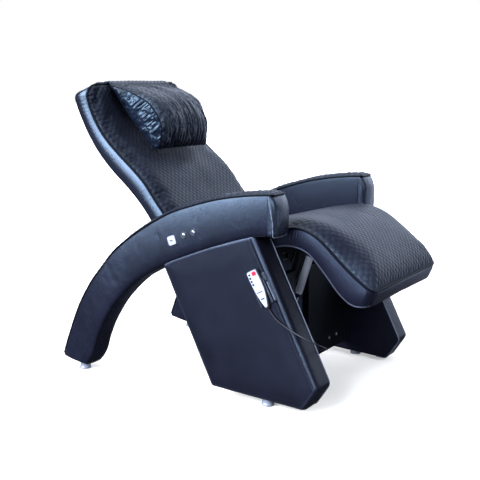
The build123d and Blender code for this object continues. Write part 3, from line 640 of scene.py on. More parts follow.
ARM_HIDE = dict(base=(0.0045, 0.0045, 0.0085), light=(0.0085, 0.0085, 0.0155),
                tint=(0.64, 0.84, 1.0), bump=0.22)
QUILT_HIDE = dict(base=(0.0055, 0.0060, 0.0105), light=(0.0105, 0.0115, 0.0185),
                  quilt=True, bump=0.28)
FINISHES = {
    "black_leather": (leather, dict(rough=(0.23, 0.32), spec=0.62, wrinkle=0.12, **ARM_HIDE)),
    "arm_leather": (leather, dict(rough=(0.23, 0.31), spec=0.16, painted_sheen=0.62, wrinkle=0.10,
                                  **ARM_HIDE)),
    # darker, duller copy of the arm leather: painted shade on the seat band, which sits under the
    # arm
    "band_leather": (leather, dict(
        base=(0.0040, 0.0038, 0.0075), light=(0.0075, 0.0072, 0.0140), rough=(0.26, 0.36),
        tint=(0.62, 0.78, 1.0), spec=0.20, bump=0.22, wrinkle=0.14)),
    # darker, duller copy of the arm leather: painted shade on the side panels
    "panel_leather": (leather, dict(
        base=(0.0036, 0.0034, 0.0060), light=(0.0066, 0.0062, 0.0112), rough=(0.27, 0.35),
        tint=(0.66, 0.80, 1.0), spec=0.15, painted_sheen=0.62, bump=0.3, wrinkle=0.05)),
    "quilted_leather": (leather, dict(rough=(0.33, 0.43), spec=0.36, tint=(0.70, 0.86, 1.0),
                                      **QUILT_HIDE)),
    "cushion_leather": (leather, dict(
        base=(0.0052, 0.0056, 0.0105), light=(0.0100, 0.0108, 0.0180), rough=(0.31, 0.41),
        spec=0.11, painted_sheen=0.26, tint=(0.68, 0.86, 1.0), quilt=True, bump=0.28)),
    "cover_leather": (leather, dict(rough=(0.24, 0.32), spec=0.28, tint=(0.68, 0.86, 1.0),
                                    **QUILT_HIDE)),
    "pillow_leather": (leather, dict(
        base=(0.004, 0.006, 0.012), light=(0.008, 0.012, 0.022), rough=(0.14, 0.22),
        tint=(0.62, 0.88, 1.0), spec=0.34, bump=0.16)),
    "piping": (leather, dict(base=(0.0014, 0.0014, 0.0022), light=(0.0028, 0.0028, 0.0042),
                             rough=(0.30, 0.42), spec=0.06, bump=0.12)),
    "edge_grey": (leather, dict(base=(0.018, 0.019, 0.026), light=(0.030, 0.032, 0.042),
                                rough=(0.30, 0.42), spec=0.25, bump=0.12)),
    "pale_piping": (leather, dict(base=(0.10, 0.11, 0.13), light=(0.16, 0.17, 0.20),
                                  rough=(0.35, 0.5), bump=0.12)),
    "holster_leather": (leather, dict(base=(0.008, 0.009, 0.012), light=(0.014, 0.015, 0.020),
                                      rough=(0.35, 0.5))),
    "dark_board": (leather, dict(base=(0.002, 0.002, 0.003), light=(0.004, 0.004, 0.005),
                                 rough=(0.5, 0.62), bump=0.3, spec=0.15)),
    "dust_cover": (fabric, dict(colour=(0.012, 0.012, 0.014))),
    "timber": (wood, dict(dark=(0.42, 0.28, 0.15), light=(0.60, 0.44, 0.27))),
    "plywood": (wood, dict(dark=(0.50, 0.36, 0.20), light=(0.66, 0.50, 0.32))),
    "black_steel": (plastic, dict(colour=(0.006, 0.006, 0.007), rough=0.42, bump=0.10,
                                  scale=700.0, spec=0.22)),
    "dark_steel": (metal, dict(colour=(0.20, 0.20, 0.21), rough=0.35, brush=0.05)),
    "bright_steel": (metal, dict(colour=(0.62, 0.62, 0.64), rough=0.28, brush=0.05)),
    "silver_tube": (plastic, dict(colour=(0.84, 0.85, 0.86), rough=0.26, spec=1.0, var=0.04)),
    "chrome": (metal, dict(colour=(0.86, 0.86, 0.88), rough=0.08)),
    "black_plastic": (plastic, dict(colour=(0.012, 0.012, 0.014), rough=0.42)),
    "white_plastic": (plastic, dict(colour=(0.31, 0.31, 0.35), rough=0.34, spec=0.25,
                                    var=0.03)),
    "red_plastic": (plastic, dict(colour=(0.55, 0.012, 0.03), rough=0.30, var=0.08)),
    "dark_button": (plastic, dict(colour=(0.006, 0.014, 0.014), rough=0.6, spec=0.10)),
    "nylon": (plastic, dict(colour=(0.70, 0.69, 0.64), rough=0.45)),
    "cord_rubber": (plastic, dict(colour=(0.002, 0.002, 0.003), rough=0.34, spec=0.35)),
    "pale_chrome": (plastic, dict(colour=(0.20, 0.21, 0.23), rough=0.16, spec=1.0, var=0.10)),
}
MATERIALS = {name: make(name, **settings) for name, (make, settings) in FINISHES.items()}


def set_finish(node_name, material_name):
    slots = NODES[node_name].data.materials
    slots.clear()
    slots.append(MATERIALS[material_name])


# CAD nodes keep their shape and get the finish of their slot, but for a few
for item in frame["record"]["subparts"]:
    set_finish(item["node"], item["material_slot"])
for node_name, material_name in (
        ("power_button", "white_plastic"), ("foot_glides", "pale_chrome"),
        ("foot_studs", "pale_chrome"), ("pivot_bolts", "black_steel"),
        ("cross_bolts", "dark_steel")):
    set_finish(node_name, material_name)


# --- cloth --------------------------------------------------------------------
CLOTH_STEP = 3          # grid points per cloth point
CLOTH_FRAMES = 20


def interpolate_rows(field, known, count):
    """Field known at some rows, filled in for all count rows."""
    rows = np.arange(count)
    k = np.clip(np.searchsorted(known, rows, side="right") - 1, 0, len(known) - 2)
    part = (rows - known[k]) / (known[k + 1] - known[k])
    part = part.reshape((-1,) + (1,) * (field.ndim - 1))
    return field[k] * (1 - part) + field[k + 1] * part


def average_rows(field, wrap=False):
    """Moving average over three rows."""
    first, last = (field[-1:], field[:1]) if wrap else (field[:1], field[-1:])
    padded = np.concatenate([first, field, last])
    total = np.cumsum(np.concatenate([np.zeros_like(padded[:1]), padded]), axis=0)
    return (total[3:] - total[:-3]) / 3


def coarse_index(count):
    steps = max(4, int(round((count - 1) / CLOTH_STEP)) + 1)
    return np.unique(np.round(np.linspace(0, count - 1, steps)).astype(int))


def cloth_move(name, grid, pin, pressure, grow, cap, bend, outward, wrap=False):
    """How far each point of a grid moves when a coarse cloth copy is inflated.
    pin is 1 where held, else 0; grow is the spare leather; cap limits the move in mm;
    outward(point) gives the direction the faces must look."""
    rows, columns = grid.shape[:2]
    row_index = coarse_index(rows)
    column_index = np.arange(0, columns, CLOTH_STEP) if wrap else coarse_index(columns)
    pick = np.ix_(row_index, column_index)
    coarse_mm = grid[pick].reshape(-1, 3)
    coarse = coarse_mm / 1000.0
    faces = grid_faces(len(row_index), len(column_index), wrap)
    corner, after, _, before = faces[len(faces) // 2]
    normal = np.cross(coarse[after] - coarse[corner], coarse[before] - coarse[corner])
    if np.dot(normal, outward(coarse_mm[corner])) < 0:
        faces = [face[::-1] for face in faces]
    mesh = bpy.data.meshes.new(name)
    mesh.from_pydata(coarse.tolist(), [], faces)
    sheet = bpy.data.objects.new(name, mesh)
    scene = bpy.context.scene
    scene.collection.objects.link(sheet)
    held = np.nonzero(pin[pick].ravel())[0].tolist()
    sheet.vertex_groups.new(name="pin").add(held, 1.0, "REPLACE")
    cloth = sheet.modifiers.new("Cloth", "CLOTH")
    for key, value in dict(
            quality=6, mass=0.25, air_damping=3.0, tension_stiffness=18.0,
            compression_stiffness=18.0, shear_stiffness=8.0, bending_stiffness=bend,
            use_pressure=True, uniform_pressure_force=pressure, vertex_group_mass="pin",
            pin_stiffness=1.0, shrink_min=-grow).items():
        setattr(cloth.settings, key, value)
    cloth.settings.effector_weights.gravity = 0.0
    cloth.collision_settings.use_collision = False
    cloth.collision_settings.use_self_collision = False
    cloth.point_cache.frame_start = 1
    cloth.point_cache.frame_end = CLOTH_FRAMES
    for number in range(1, CLOTH_FRAMES + 1):
        scene.frame_set(number)
    evaluated = sheet.evaluated_get(bpy.context.evaluated_depsgraph_get())
    moved = np.empty(len(coarse) * 3, np.float32)
    evaluated.to_mesh().vertices.foreach_get("co", moved)
    evaluated.to_mesh_clear()
    scene.frame_set(1)
    bpy.data.objects.remove(sheet, do_unlink=True)

    move = (moved.reshape(-1, 3).astype(float) - coarse) * 1000.0
    move = move.reshape(len(row_index), len(column_index), 3)
    move[~np.isfinite(move)] = 0.0
    length = np.linalg.norm(move, axis=2, keepdims=True)
    move = move * np.minimum(1.0, cap * np.tanh(length / cap) / np.maximum(length, 1e-6))
    move = interpolate_rows(move, row_index.astype(float), rows)
    if wrap:
        move = np.concatenate([move, move[:, :1]], axis=1)
        column_index = np.append(column_index, columns)
    move = interpolate_rows(np.swapaxes(move, 0, 1), column_index.astype(float),
                            column_index[-1] + 1)[:columns]
    move = average_rows(np.swapaxes(move, 0, 1))
    move = np.swapaxes(average_rows(np.swapaxes(move, 0, 1), wrap), 0, 1)
    return move * (1 - pin)[..., None]


def outward_normals(grid, outward, wrap=False):
    """Unit normals of a grid, on the side of the (y, z) directions outward."""
    if wrap:
        across = (np.roll(grid, -1, 1) - np.roll(grid, 1, 1)) * 0.5
    else:
        across = np.gradient(grid, axis=1)
    normal = np.cross(np.gradient(grid, axis=0), across)
    normal = normal / np.maximum(np.linalg.norm(normal, axis=2, keepdims=True), 1e-9)
    if np.mean(np.sum(normal[..., 1:] * outward, axis=-1)) < 0:
        normal = -normal
    return normal


def lifted_grid(x, edge, normal, height):
    """Grid whose rows follow a (y, z) edge, raised by height along its normals."""
    grid = np.empty(x.shape + (3,))
    grid[..., 0] = x
    for k in range(2):
        grid[..., k + 1] = edge[:, k, None] + normal[:, k, None] * height
    return grid


# --- seat and back ------------------------------------------------------------
TOP_STEP = grade(3.0)
TOP_COLUMNS = grade(232)
BAND_STEP = 3.0
BAND_ROUND = 9.0        # radius where the band turns under


def rounded_half_width(along, radius):
    """Half width with a rounded corner of this radius at the first end."""
    short = np.clip(radius - along, 0, radius)
    return HALF_WIDTH - radius + np.sqrt(np.maximum(radius ** 2 - short ** 2, 0))


def cushion_top(name, cloth_name, replaced, stations, corner, crown, end_reach, end_power,
                side_reach, grow, gather, seed, trim=0.0, swell=None):
    """Quilted, crowned top. crown is its height, reached within side_reach and end_reach
    of the edges; gather is the depth of the puckers; swell(along) adds to the crown."""
    line = profile(stations, TOP_STEP, trim=trim)
    half = rounded_half_width(line.along, corner)
    share = np.linspace(-1, 1, TOP_COLUMNS)
    # closer columns near the two edges
    share = np.sign(share) * (1 - (1 - np.abs(share)) ** 1.12)
    x = share[None, :] * half[:, None]
    along = np.repeat(line.along[:, None], TOP_COLUMNS, 1)
    from_side = half[:, None] - np.abs(x)
    # smooth minimum of the rise from the sides and from the end
    side_rise = edge_crown(from_side, side_reach, 2.0)
    end_rise = edge_crown(along, end_reach, end_power)
    rise = (np.maximum(side_rise, 1e-3) ** -4.0 + np.maximum(end_rise, 1e-3) ** -4.0) ** -0.25
    height = (crown + (swell(along) if swell else 0.0)) * rise
    # slow dips of the padding
    height = height + rise * 1.6 * value_noise(along / 95.0, x / 120.0, seed + 3, 2)
    # gathers at the side seams, uneven in pitch and depth
    phase = along / 17.0 + 0.9 * value_noise(along / 60.0, 1.5, seed + 5)
    depth = 0.55 + 0.45 * value_noise(along / 26.0, np.sign(x) * 3.0, seed + 6)
    height = height + gather * depth * puckers(phase, from_side, reach=20.0)
    # gathers at the end seam
    phase = x / 15.0 + 0.8 * value_noise(x / 50.0, 2.5, seed + 8)
    height = height + (0.8 * gather * puckers(phase, along, reach=22.0)
                       * ease(0, 30, from_side))
    grid = lifted_grid(x, line.top, line.normal, height)
    held = (from_side < 2.5) | (along > line.along[-1] - 4.0) | (along < 2.5)
    facing = np.array([0.0, *line.normal.mean(0)])
    grid = grid + cloth_move(cloth_name, grid, held.astype(float), pressure=3.2, grow=grow,
                             cap=9.0, bend=0.5, outward=lambda point: facing)
    diamonds = quilt_height(along, x)
    # the quilting is deepest near the seams and fades in the seams themselves
    relief = 2.3 * diamonds * (0.42 + 0.60 * np.exp(-np.minimum(from_side, along) / 40.0))
    fade = ease(0, 9, from_side) * ease(0, 9, along)
    normal = outward_normals(grid, line.normal[:, None, :])
    grid = grid + normal * (relief * fade)[..., None]
    # painted sheen: duller in a strip beside the side seams for painted shade, brighter right at the
    # seam gathers for painted highlights
    painted_sheen = ease(16.0, 74.0, from_side) + 1.5 * (1 - ease(6.0, 15.0, from_side))
    if swell:
        # painted highlight along the sides of the legrest tip
        tip_sheen = (1 - ease(70.0, 190.0, along)) * (1 - ease(30.0, 60.0, from_side))
        painted_sheen = np.maximum(painted_sheen, 1.2 * tip_sheen)
    # the quilt attribute paints shade in the quilting valleys and a half shade along the seams
    solid = closed_pad(name, grid, -half + 1.5, half - 1.5, line.top + line.down * 9.0,
                       MATERIALS["cushion_leather"],
                       {"quilt": diamonds * fade + (1 - fade) * 0.35, "painted_sheen": painted_sheen})
    attach(solid, "seat_unit", "quilted_leather", *replaced)


def dome_rows(ring, inner_ring, inset, rise):
    """Rings that round off an end beyond ring; also its centre and outward direction."""
    centre = ring.mean(0)
    outward = centre - inner_ring.mean(0)
    outward /= np.linalg.norm(outward)
    spokes = ring - centre
    lengths = np.maximum(np.linalg.norm(spokes, axis=1)[:, None], 1)
    rows = [centre + spokes * (1 - inset * (1 - math.cos(angle)) / lengths)
            + outward * rise * math.sin(angle) for angle in np.linspace(0, np.pi / 2, 6)[1:]]
    return rows, centre, outward


def band_end(ring, inner_ring, radius):
    """Rounded end of a band: an edge radius, then a slightly domed face."""
    rows, centre, outward = dome_rows(ring, inner_ring, radius, radius)
    rim = rows[-1] - centre - outward * radius
    for share, rise in ((0.93, 1.0), (0.80, 2.2), (0.60, 3.2), (0.30, 3.9), (0.12, 4.0)):
        rows.append(centre + rim * share + outward * (radius + rise))
    return rows


def cushion_band(name, replaced, stations, corner, material, bulge, sag, wrinkle, end_round,
                 recess=None):
    """Leather band and underside around a frame, as a closed tube.
    recess is (left x, right x, front y, rear y, depth) of a hollow underneath."""
    line = profile(stations, BAND_STEP)
    half = rounded_half_width(line.along, corner)
    rings = []
    for along, top, down, depth, width in zip(line.along, line.top, line.down, line.depth, half):
        # down the +x side, across below, up the -x side
        level = np.linspace(0.05 * depth, depth - BAND_ROUND, 13)
        part = level / depth
        side_x = width - 1.0 + bulge * np.sin(np.pi * np.clip(part, 0, 1)) ** 0.8
        side_x = side_x + wrinkle(along, part)
        angle = np.linspace(0, np.pi / 2, 6)[1:]
        turn = np.column_stack([side_x[-1] - BAND_ROUND * (1 - np.cos(angle)),
                                depth - BAND_ROUND + BAND_ROUND * np.sin(angle)])
        side = np.vstack([np.column_stack([side_x, level]), turn])
        below_x = np.linspace(turn[-1, 0], -turn[-1, 0], 15)[1:-1]
        if recess:
            left, right, front, rear, recess_depth = recess
            walls = [left - 1.0, left + 1.0, right - 1.0, right + 1.0]
            below_x = np.sort(np.concatenate([below_x, walls]))[::-1]
        below = np.column_stack([below_x, depth + sag * (1 - (below_x / max(1, width)) ** 2)])
        if recess and front < top[0] + down[0] * depth < rear:
            below[:, 1] -= recess_depth * ((below_x > left) & (below_x < right))
        ring = np.vstack([side, below, side[::-1] * np.array([-1, 1])])
        rings.append(np.column_stack([ring[:, 0], top + down * ring[:, 1, None]]))
    first = band_end(rings[0], rings[3], end_round[0])[::-1]
    last = band_end(rings[-1], rings[-4], end_round[1])
    rings = np.array(first + rings + last)
    # painted shade: the ends of the band get a low sheen so they catch no bright reflection
    shine = np.ones(rings.shape[:2])
    shine[:len(first)] = 0.25
    shine[-len(last):] = 0.25
    solid = closed_tube(name, rings, MATERIALS[material], {"painted_sheen": shine})
    attach(solid, "seat_unit", "black_leather", replaced)
    return line, half


def edge_path(edge, half, trim):
    """Path along the -x edge, round the first end and back along the +x edge."""
    kept = len(edge) - trim
    edge, half = edge[:kept], half[:kept]
    middle_x = np.linspace(-half[0], half[0], 80)[1:-1]
    return np.vstack([np.column_stack([-half, edge])[::-1],
                      np.column_stack([middle_x, np.repeat(edge[:1], 78, 0)]),
                      np.column_stack([half, edge])])


def band_cords(line, half, piping_name, welt_name, welt_radius, welt_material, trim=0):
    """Piping along the top edge and a welt along the base edge of a band."""
    path = edge_path(line.top + line.normal, half + 1.0, trim)
    attach(cord(piping_name, path, 3.4, MATERIALS["piping"], 10), "seat_unit", "black_leather")
    low_edge = line.top + (line.base - line.top) * 0.965
    path = edge_path(low_edge, half + 0.5, trim)
    attach(cord(welt_name, path, welt_radius, MATERIALS[welt_material], 8),
           "seat_unit", "black_leather")


def seat_swell(along):
    """The legrest is padded thicker, so its crown bridges the hollow of the frame."""
    return 32.0 * ease(-40.0, 80.0, along) * (1 - ease(100.0, 360.0, along))


def seat_wrinkle(along, part):
    """Fine gathers across the band, strongest where it bends over the knee."""
    strength = bell(along, 330.0, 75.0) + 0.18 * bell(along, 90.0, 60.0) + 0.04
    phase = along / 10.5 + 0.5 * value_noise(along / 30.0, 2.0, 21)
    fade = np.sin(np.pi * np.clip(part * 0.85 + 0.06, 0, 1)) * (1.2 - part)
    uneven = 0.6 + 0.4 * value_noise(along / 24.0, 7.0, 23)
    return strength * 1.2 * math.sin(2 * math.pi * phase) * fade * uneven


def back_wrinkle(along, part):
    """Shallow gathers across the band, near its upper end and its waist."""
    strength = 0.25 + 0.5 * bell(along, 60.0, 40.0) + 0.35 * bell(along, 430.0, 90.0)
    phase = along / 13.0 + 0.7 * value_noise(along / 34.0, 5.0, 22)
    fade = np.sin(np.pi * np.clip(part, 0, 1)) * (1.1 - part)
    return strength * 0.35 * math.sin(2 * math.pi * phase) * fade


SEAT_CORNER, BACK_CORNER = 26.0, 42.0       # corner radii seen from the padded side

cushion_top("seat_quilted_top", "seat_cloth", ("seat_cushion", "legrest_cushion"),
            SEAT_STATIONS, SEAT_CORNER, crown=32.0, end_reach=96.0, end_power=3.2,
            side_reach=90.0, grow=-0.004, gather=1.6, seed=1, swell=seat_swell)
# the recess takes the actuator head and its clevis
seat_line, seat_half = cushion_band(
    "seat_band", "seat_cover", SEAT_STATIONS, SEAT_CORNER, "band_leather", bulge=4.5, sag=-0.6,
    wrinkle=seat_wrinkle, end_round=(6.0, 4.0), recess=(-95.0, -41.0, -77.0, 66.0, 17.0))
band_cords(seat_line, seat_half, "seat_piping", "seat_lower_welt", 2.8, "edge_grey")

cushion_top("back_quilted_front", "back_cloth", ("back_cushion",), BACK_STATIONS, BACK_CORNER,
            crown=22.0, end_reach=60.0, end_power=2.0, side_reach=74.0, grow=0.045,
            gather=2.5, seed=2, trim=58.0)
back_line, back_half = cushion_band(
    "back_band", "back_cover", BACK_STATIONS, BACK_CORNER, "arm_leather", bulge=8.0, sag=1.5,
    wrinkle=back_wrinkle, end_round=(12.0, 4.0))
band_cords(back_line, back_half, "back_piping", "back_rear_welt", 2.4, "piping", trim=14)


# --- arms ---------------------------------------------------------------------
HIDE_IN, HIDE_OUT = 296.5, 382.5        # the leather sides pull in at their seams
ARM_MIDDLE = 0.5 * (ARM_IN + ARM_OUT)
HIDE_MIDDLE = 0.5 * (HIDE_IN + HIDE_OUT)
SIDE_POINTS, CORNER_POINTS, LOW_POINTS = 15, 7, 9
ARM_LINE = profile(ARM_STATIONS, grade(5.0), rounds=40)

# Painted sheen and shade: the hide's specular level is raised over the crown of the arm and lowered
# at the foot and the lower edge, to place its highlight and shade.
# Pairs of (share of the length from the foot, shine) and (share of the depth, shine).
SHINE_ALONG = [(0.0, -0.2), (0.05, -0.18), (0.13, 0.0), (0.22, 0.18), (0.30, 0.42),
               (0.385, 0.85), (0.47, 0.98), (0.72, 1.02), (0.88, 0.84), (0.97, 0.44),
               (1.0, 0.38)]
SHINE_DEPTH = [(0.0, 0.97), (0.12, 0.97), (0.30, 0.84), (0.50, 1.02), (0.70, 1.35),
               (0.80, 0.75), (0.90, 0.2), (1.0, 0.0)]

CAP_TOP, CAP_BOTTOM = 694.5, 564.5
CAP_REAR, CAP_FRONT = -19.0, -48.0      # y
CAP_ROUND = 17.0                        # radius of its upright front corners
CAP_ROWS = 44


def arm_section(depth, x_in, x_out, top_round, low_round, side_bulge, low_bulge):
    """Ring of (x, depth) from the upper outer edge down, under and up the inner side."""
    def corner(angle, x, radius_sign, radius, level, level_sign):
        return np.column_stack([x + radius_sign * radius * (1 - np.cos(angle)),
                                level + level_sign * radius * np.sin(angle)])

    level = np.linspace(top_round, depth - low_round, SIDE_POINTS)
    outer = x_out + side_bulge * np.sin(np.pi * level / depth) ** 0.7
    up_level = np.linspace(depth - low_round, top_round, SIDE_POINTS)
    inner = x_in - 0.5 * side_bulge * np.sin(np.pi * up_level / depth) ** 0.7
    quarter = np.linspace(0, np.pi / 2, CORNER_POINTS)[1:]
    quarter_back = np.linspace(np.pi / 2, 0, CORNER_POINTS)[:-1]
    small, small_back = np.linspace(0, np.pi / 2, 4)[1:], np.linspace(np.pi / 2, 0, 4)[:-1]
    low_x = np.linspace(outer[-1] - low_round, x_in + low_round, LOW_POINTS)[1:-1]
    low_part = (low_x - x_in) / (x_out - x_in)
    top_x = np.linspace(x_in + top_round, x_out - top_round, 9)[1:-1]
    return np.vstack([
        np.column_stack([outer, level]),
        corner(quarter, outer[-1], -1, low_round, depth - low_round, 1),
        np.column_stack([low_x, depth + low_bulge * np.sin(np.pi * low_part)]),
        corner(quarter_back, inner[0], 1, low_round, depth - low_round, 1),
        np.column_stack([inner, up_level]),
        corner(small, inner[-1], 1, top_round, top_round, -1),
        np.column_stack([top_x, np.zeros(len(top_x))]),
        corner(small_back, outer[0], -1, top_round, top_round, -1)])


def arm_hide(name, side):
    """Plain leather of the arm, softly wrinkled, with a rounded foot."""
    line = ARM_LINE
    rings, shine = [], []
    for along, top, down, depth in zip(line.along, line.top, line.down, line.depth):
        ring = arm_section(depth, HIDE_IN, HIDE_OUT, top_round=5.0, low_round=16.0,
                           side_bulge=7.3, low_bulge=2.5)
        part = ring[:, 1] / depth
        # the wrinkles are stronger where the arm bends down
        wrinkle = ((0.35 + 0.75 * bell(along, 520.0, 260.0))
                   * value_noise(along / 46.0, part * 2.2 + along / 160.0,
                                 31 + int(side > 0), 2))
        ring[:, 0] -= (np.sign(ring[:, 0] - ARM_MIDDLE) * wrinkle ** 2 * 0.75
                       * np.sin(np.pi * np.clip(part, 0, 1)))
        # painted sheen from the tables above
        shine.append(lookup(along / line.along[-1], SHINE_ALONG) * lookup(part, SHINE_DEPTH))
        rings.append(np.column_stack([side * ring[:, 0], top + down * ring[:, 1, None]]))
    foot = dome_rows(rings[0], rings[2], inset=8.0, rise=4.0)[0]
    rings = np.array(foot[::-1] + rings)
    shine = np.array([shine[0]] * len(foot) + shine)
    # no painted sheen on the inner side: painted shade there
    on_inside = np.abs(rings[:, :, 0]) < HIDE_MIDDLE
    hide = closed_tube("arm_leather_" + name, rings, MATERIALS["arm_leather"],
                       {"painted_sheen": np.where(on_inside, 0.0, shine)})
    attach(hide, "base", "black_leather")
    return hide


def arm_lower_welts(name, side):
    inner = slice(1, -2)
    edge = ARM_LINE.top[inner] + ARM_LINE.down[inner] * (ARM_LINE.depth[inner] - 3.6)[:, None]
    for place, x, radius in (("outer", HIDE_OUT + 1.2 - 3.6, 1.9), ("inner", HIDE_IN + 3.2, 1.7)):
        path = np.column_stack([np.full(len(edge), side * x), edge])
        attach(cord(f"arm_lower_welt_{place}_{name}", path, radius, MATERIALS["piping"], 7),
               "base", "black_leather")


def arm_top(name, side):
    """Quilted strip along the top, from the foot to the front cap, and its piping."""
    # the top edge runs on a little and dips over the cap: (y, z) steps from its end
    run_on = np.array([[-4, 0.3], [-7.5, 0.3], [-10.5, -0.2], [-12.8, -1.6]])
    edge = np.vstack([ARM_LINE.top, ARM_LINE.top[-1] + run_on])
    normal = np.vstack([ARM_LINE.normal, np.repeat(ARM_LINE.normal[-1:], 4, 0)])
    run = arc_length(edge)
    places = np.arange(6.0, run[-1], grade(2.4))
    edge, normal = sample(edge, run, places), sample(normal, run, places)
    columns = grade(38)
    corner = 12.0
    to_end = run[-1] - places
    half = (0.5 * (HIDE_OUT - HIDE_IN) - 3.2 - corner
            + np.sqrt(np.maximum(corner ** 2 - np.clip(corner - to_end, 0, corner) ** 2, 0)))
    x = np.linspace(-1, 1, columns)[None, :] * half[:, None]
    along = np.repeat(places[:, None], columns, 1)
    from_side = half[:, None] - np.abs(x)
    forward = along / run[-1]
    rise = (edge_crown(from_side, 26.0) * edge_crown(to_end[:, None], 22.0)
            * edge_crown(along, 20.0))
    height = 12.5 * rise + 1.6 * rise * value_noise(along / 34.0, x / 26.0, 41)
    # gathers at the side seams, deeper towards the front
    phase = along / 12.0 + 0.6 * value_noise(along / 40.0, 0.0, 44)
    height = height + ((0.9 + 0.6 * ease(0.5, 0.85, forward))
                       * puckers(phase, from_side, reach=13.0, seam=4.0))
    # loose cross folds, mostly towards the front
    loose = 0.25 + 0.75 * ease(0.50, 0.85, forward)
    folds = np.sin(2 * np.pi * (along / 23.0 + 0.9 * value_noise(along / 50.0, x / 24.0, 47)))
    height = height + 1.2 * loose * rise * folds * ease(0, 14, from_side)
    diamonds = quilt_height(along, x)
    fade = ease(0, 6, from_side)
    height = height + 2.0 * diamonds * fade
    grid = lifted_grid(side * HIDE_MIDDLE + x, edge, normal, height - 0.5)
    # the quilt attribute paints shade in the quilting valleys and a half shade along the side seams
    pad = closed_pad("arm_quilted_top_" + name, grid, grid[:, 0, 0], grid[:, -1, 0],
                     edge - normal * 3.0, MATERIALS["quilted_leather"],
                     {"quilt": diamonds * fade + (1 - fade) * 0.35})
    attach(pad, "base", "quilted_leather")

    # piping along both top edges and across the front
    raised = edge + normal * 1.2
    straight = to_end >= corner
    long_edge, turn, turn_half = raised[straight], raised[~straight], half[~straight] + 2.4
    outer, inner = (np.column_stack([np.full(len(long_edge), side * at), long_edge])
                    for at in (HIDE_OUT - 1.0, HIDE_IN + 1.0))
    turn_out, turn_in = (np.column_stack([side * (HIDE_MIDDLE + offset), turn])
                         for offset in (turn_half, -turn_half))
    front_x = np.linspace(turn_half[-1], -turn_half[-1], 24)[1:-1]
    front = np.column_stack([side * (HIDE_MIDDLE + front_x), np.repeat(turn[-1:], 22, 0)])
    path = np.vstack([outer, turn_out, front, turn_in[::-1], inner[::-1]])
    attach(cord("arm_piping_" + name, path, 3.3, MATERIALS["piping"], 9),
           "base", "black_leather")
    return pad


def cap_plan():
    """Cap seen from above: (x, y) from its outer rear round the front to the inner rear."""
    outer, inner = ARM_OUT + 1.8, ARM_IN - 1.2
    flank = CAP_FRONT + CAP_ROUND - CAP_REAR
    plan = [(ARM_OUT + 1.0 + 0.8 * part, CAP_REAR + flank * part)
            for part in np.linspace(0, 1, 7)]
    for angle in np.linspace(0, np.pi / 2, 9)[1:]:
        plan.append((outer - CAP_ROUND * (1 - math.cos(angle)),
                     CAP_FRONT + CAP_ROUND - CAP_ROUND * math.sin(angle)))
    start, end = outer - CAP_ROUND, inner + CAP_ROUND
    for part in np.linspace(0, 1, 14)[1:-1]:
        plan.append((start + (end - start) * part,
                     CAP_FRONT - 3.0 * math.sin(math.pi * part)))
    for angle in np.linspace(np.pi / 2, 0, 9):
        plan.append((inner + CAP_ROUND * (1 - math.cos(angle)),
                     CAP_FRONT + CAP_ROUND - CAP_ROUND * math.sin(angle)))
    for part in np.linspace(1, 0, 7)[1:]:
        plan.append((ARM_IN - 0.8 - 0.4 * part, CAP_REAR + flank * part))
    return np.array(plan)


def arm_cap(name, side):
    """Leather cap that wraps round the front end of the arm."""
    centre = np.array([ARM_MIDDLE, CAP_REAR])
    spokes = cap_plan() - centre
    lengths = np.maximum(np.linalg.norm(spokes, axis=1)[:, None], 20)
    rings = []
    for part in np.linspace(0, 1, CAP_ROWS):
        z = CAP_BOTTOM + (CAP_TOP - CAP_BOTTOM) * part
        # pulled in at the top and bottom rims, fuller in between
        to_rim = min(part, 1 - part) * (CAP_TOP - CAP_BOTTOM)
        rim = 10.0 if part < 0.5 else 6.0
        inset = 0.0
        if to_rim < rim:
            inset = rim - math.sqrt(max(rim ** 2 - (rim - to_rim) ** 2, 0))
        ring = centre + spokes * (1 + (1.2 * math.sin(math.pi * part) - inset) / lengths)
        ring[:, 1] = np.minimum(ring[:, 1], CAP_REAR)
        # the cap rolls back at the top and a little at the bottom
        above, under = max(0.0, z - (CAP_TOP - 52.0)), max(0.0, (CAP_BOTTOM + 10.0) - z)
        roll = (17.0 * (above / 52.0) ** 1.9
                + (10.0 - math.sqrt(max(100.0 - under ** 2, 0.0))) * 0.5)
        ring[:, 1] = np.minimum(
            ring[:, 1] + roll * np.clip((CAP_REAR - ring[:, 1]) / 26.0, 0, 1), CAP_REAR)
        dents = 0.7 * value_noise(ring[:, 0] / 22.0, z / 26.0, 51)
        ring[:, 1] -= dents * (ring[:, 1] < CAP_REAR - 5)
        rings.append(np.column_stack([side * ring[:, 0], ring[:, 1], np.full(len(ring), z)]))
    rings = np.array(rings)
    # painted sheen: low on the inner side of the cap for painted shade, full on the outer side
    shine = lookup(np.abs(rings[:, :, 0]), [(ARM_IN, 0.36), (ARM_IN + 24.0, 0.92),
                                            (ARM_OUT, 1.0)])
    cap = closed_tube("arm_cap_leather_" + name, rings, MATERIALS["arm_leather"],
                      {"painted_sheen": shine})
    attach(cap, "base", "black_leather")
    return cap


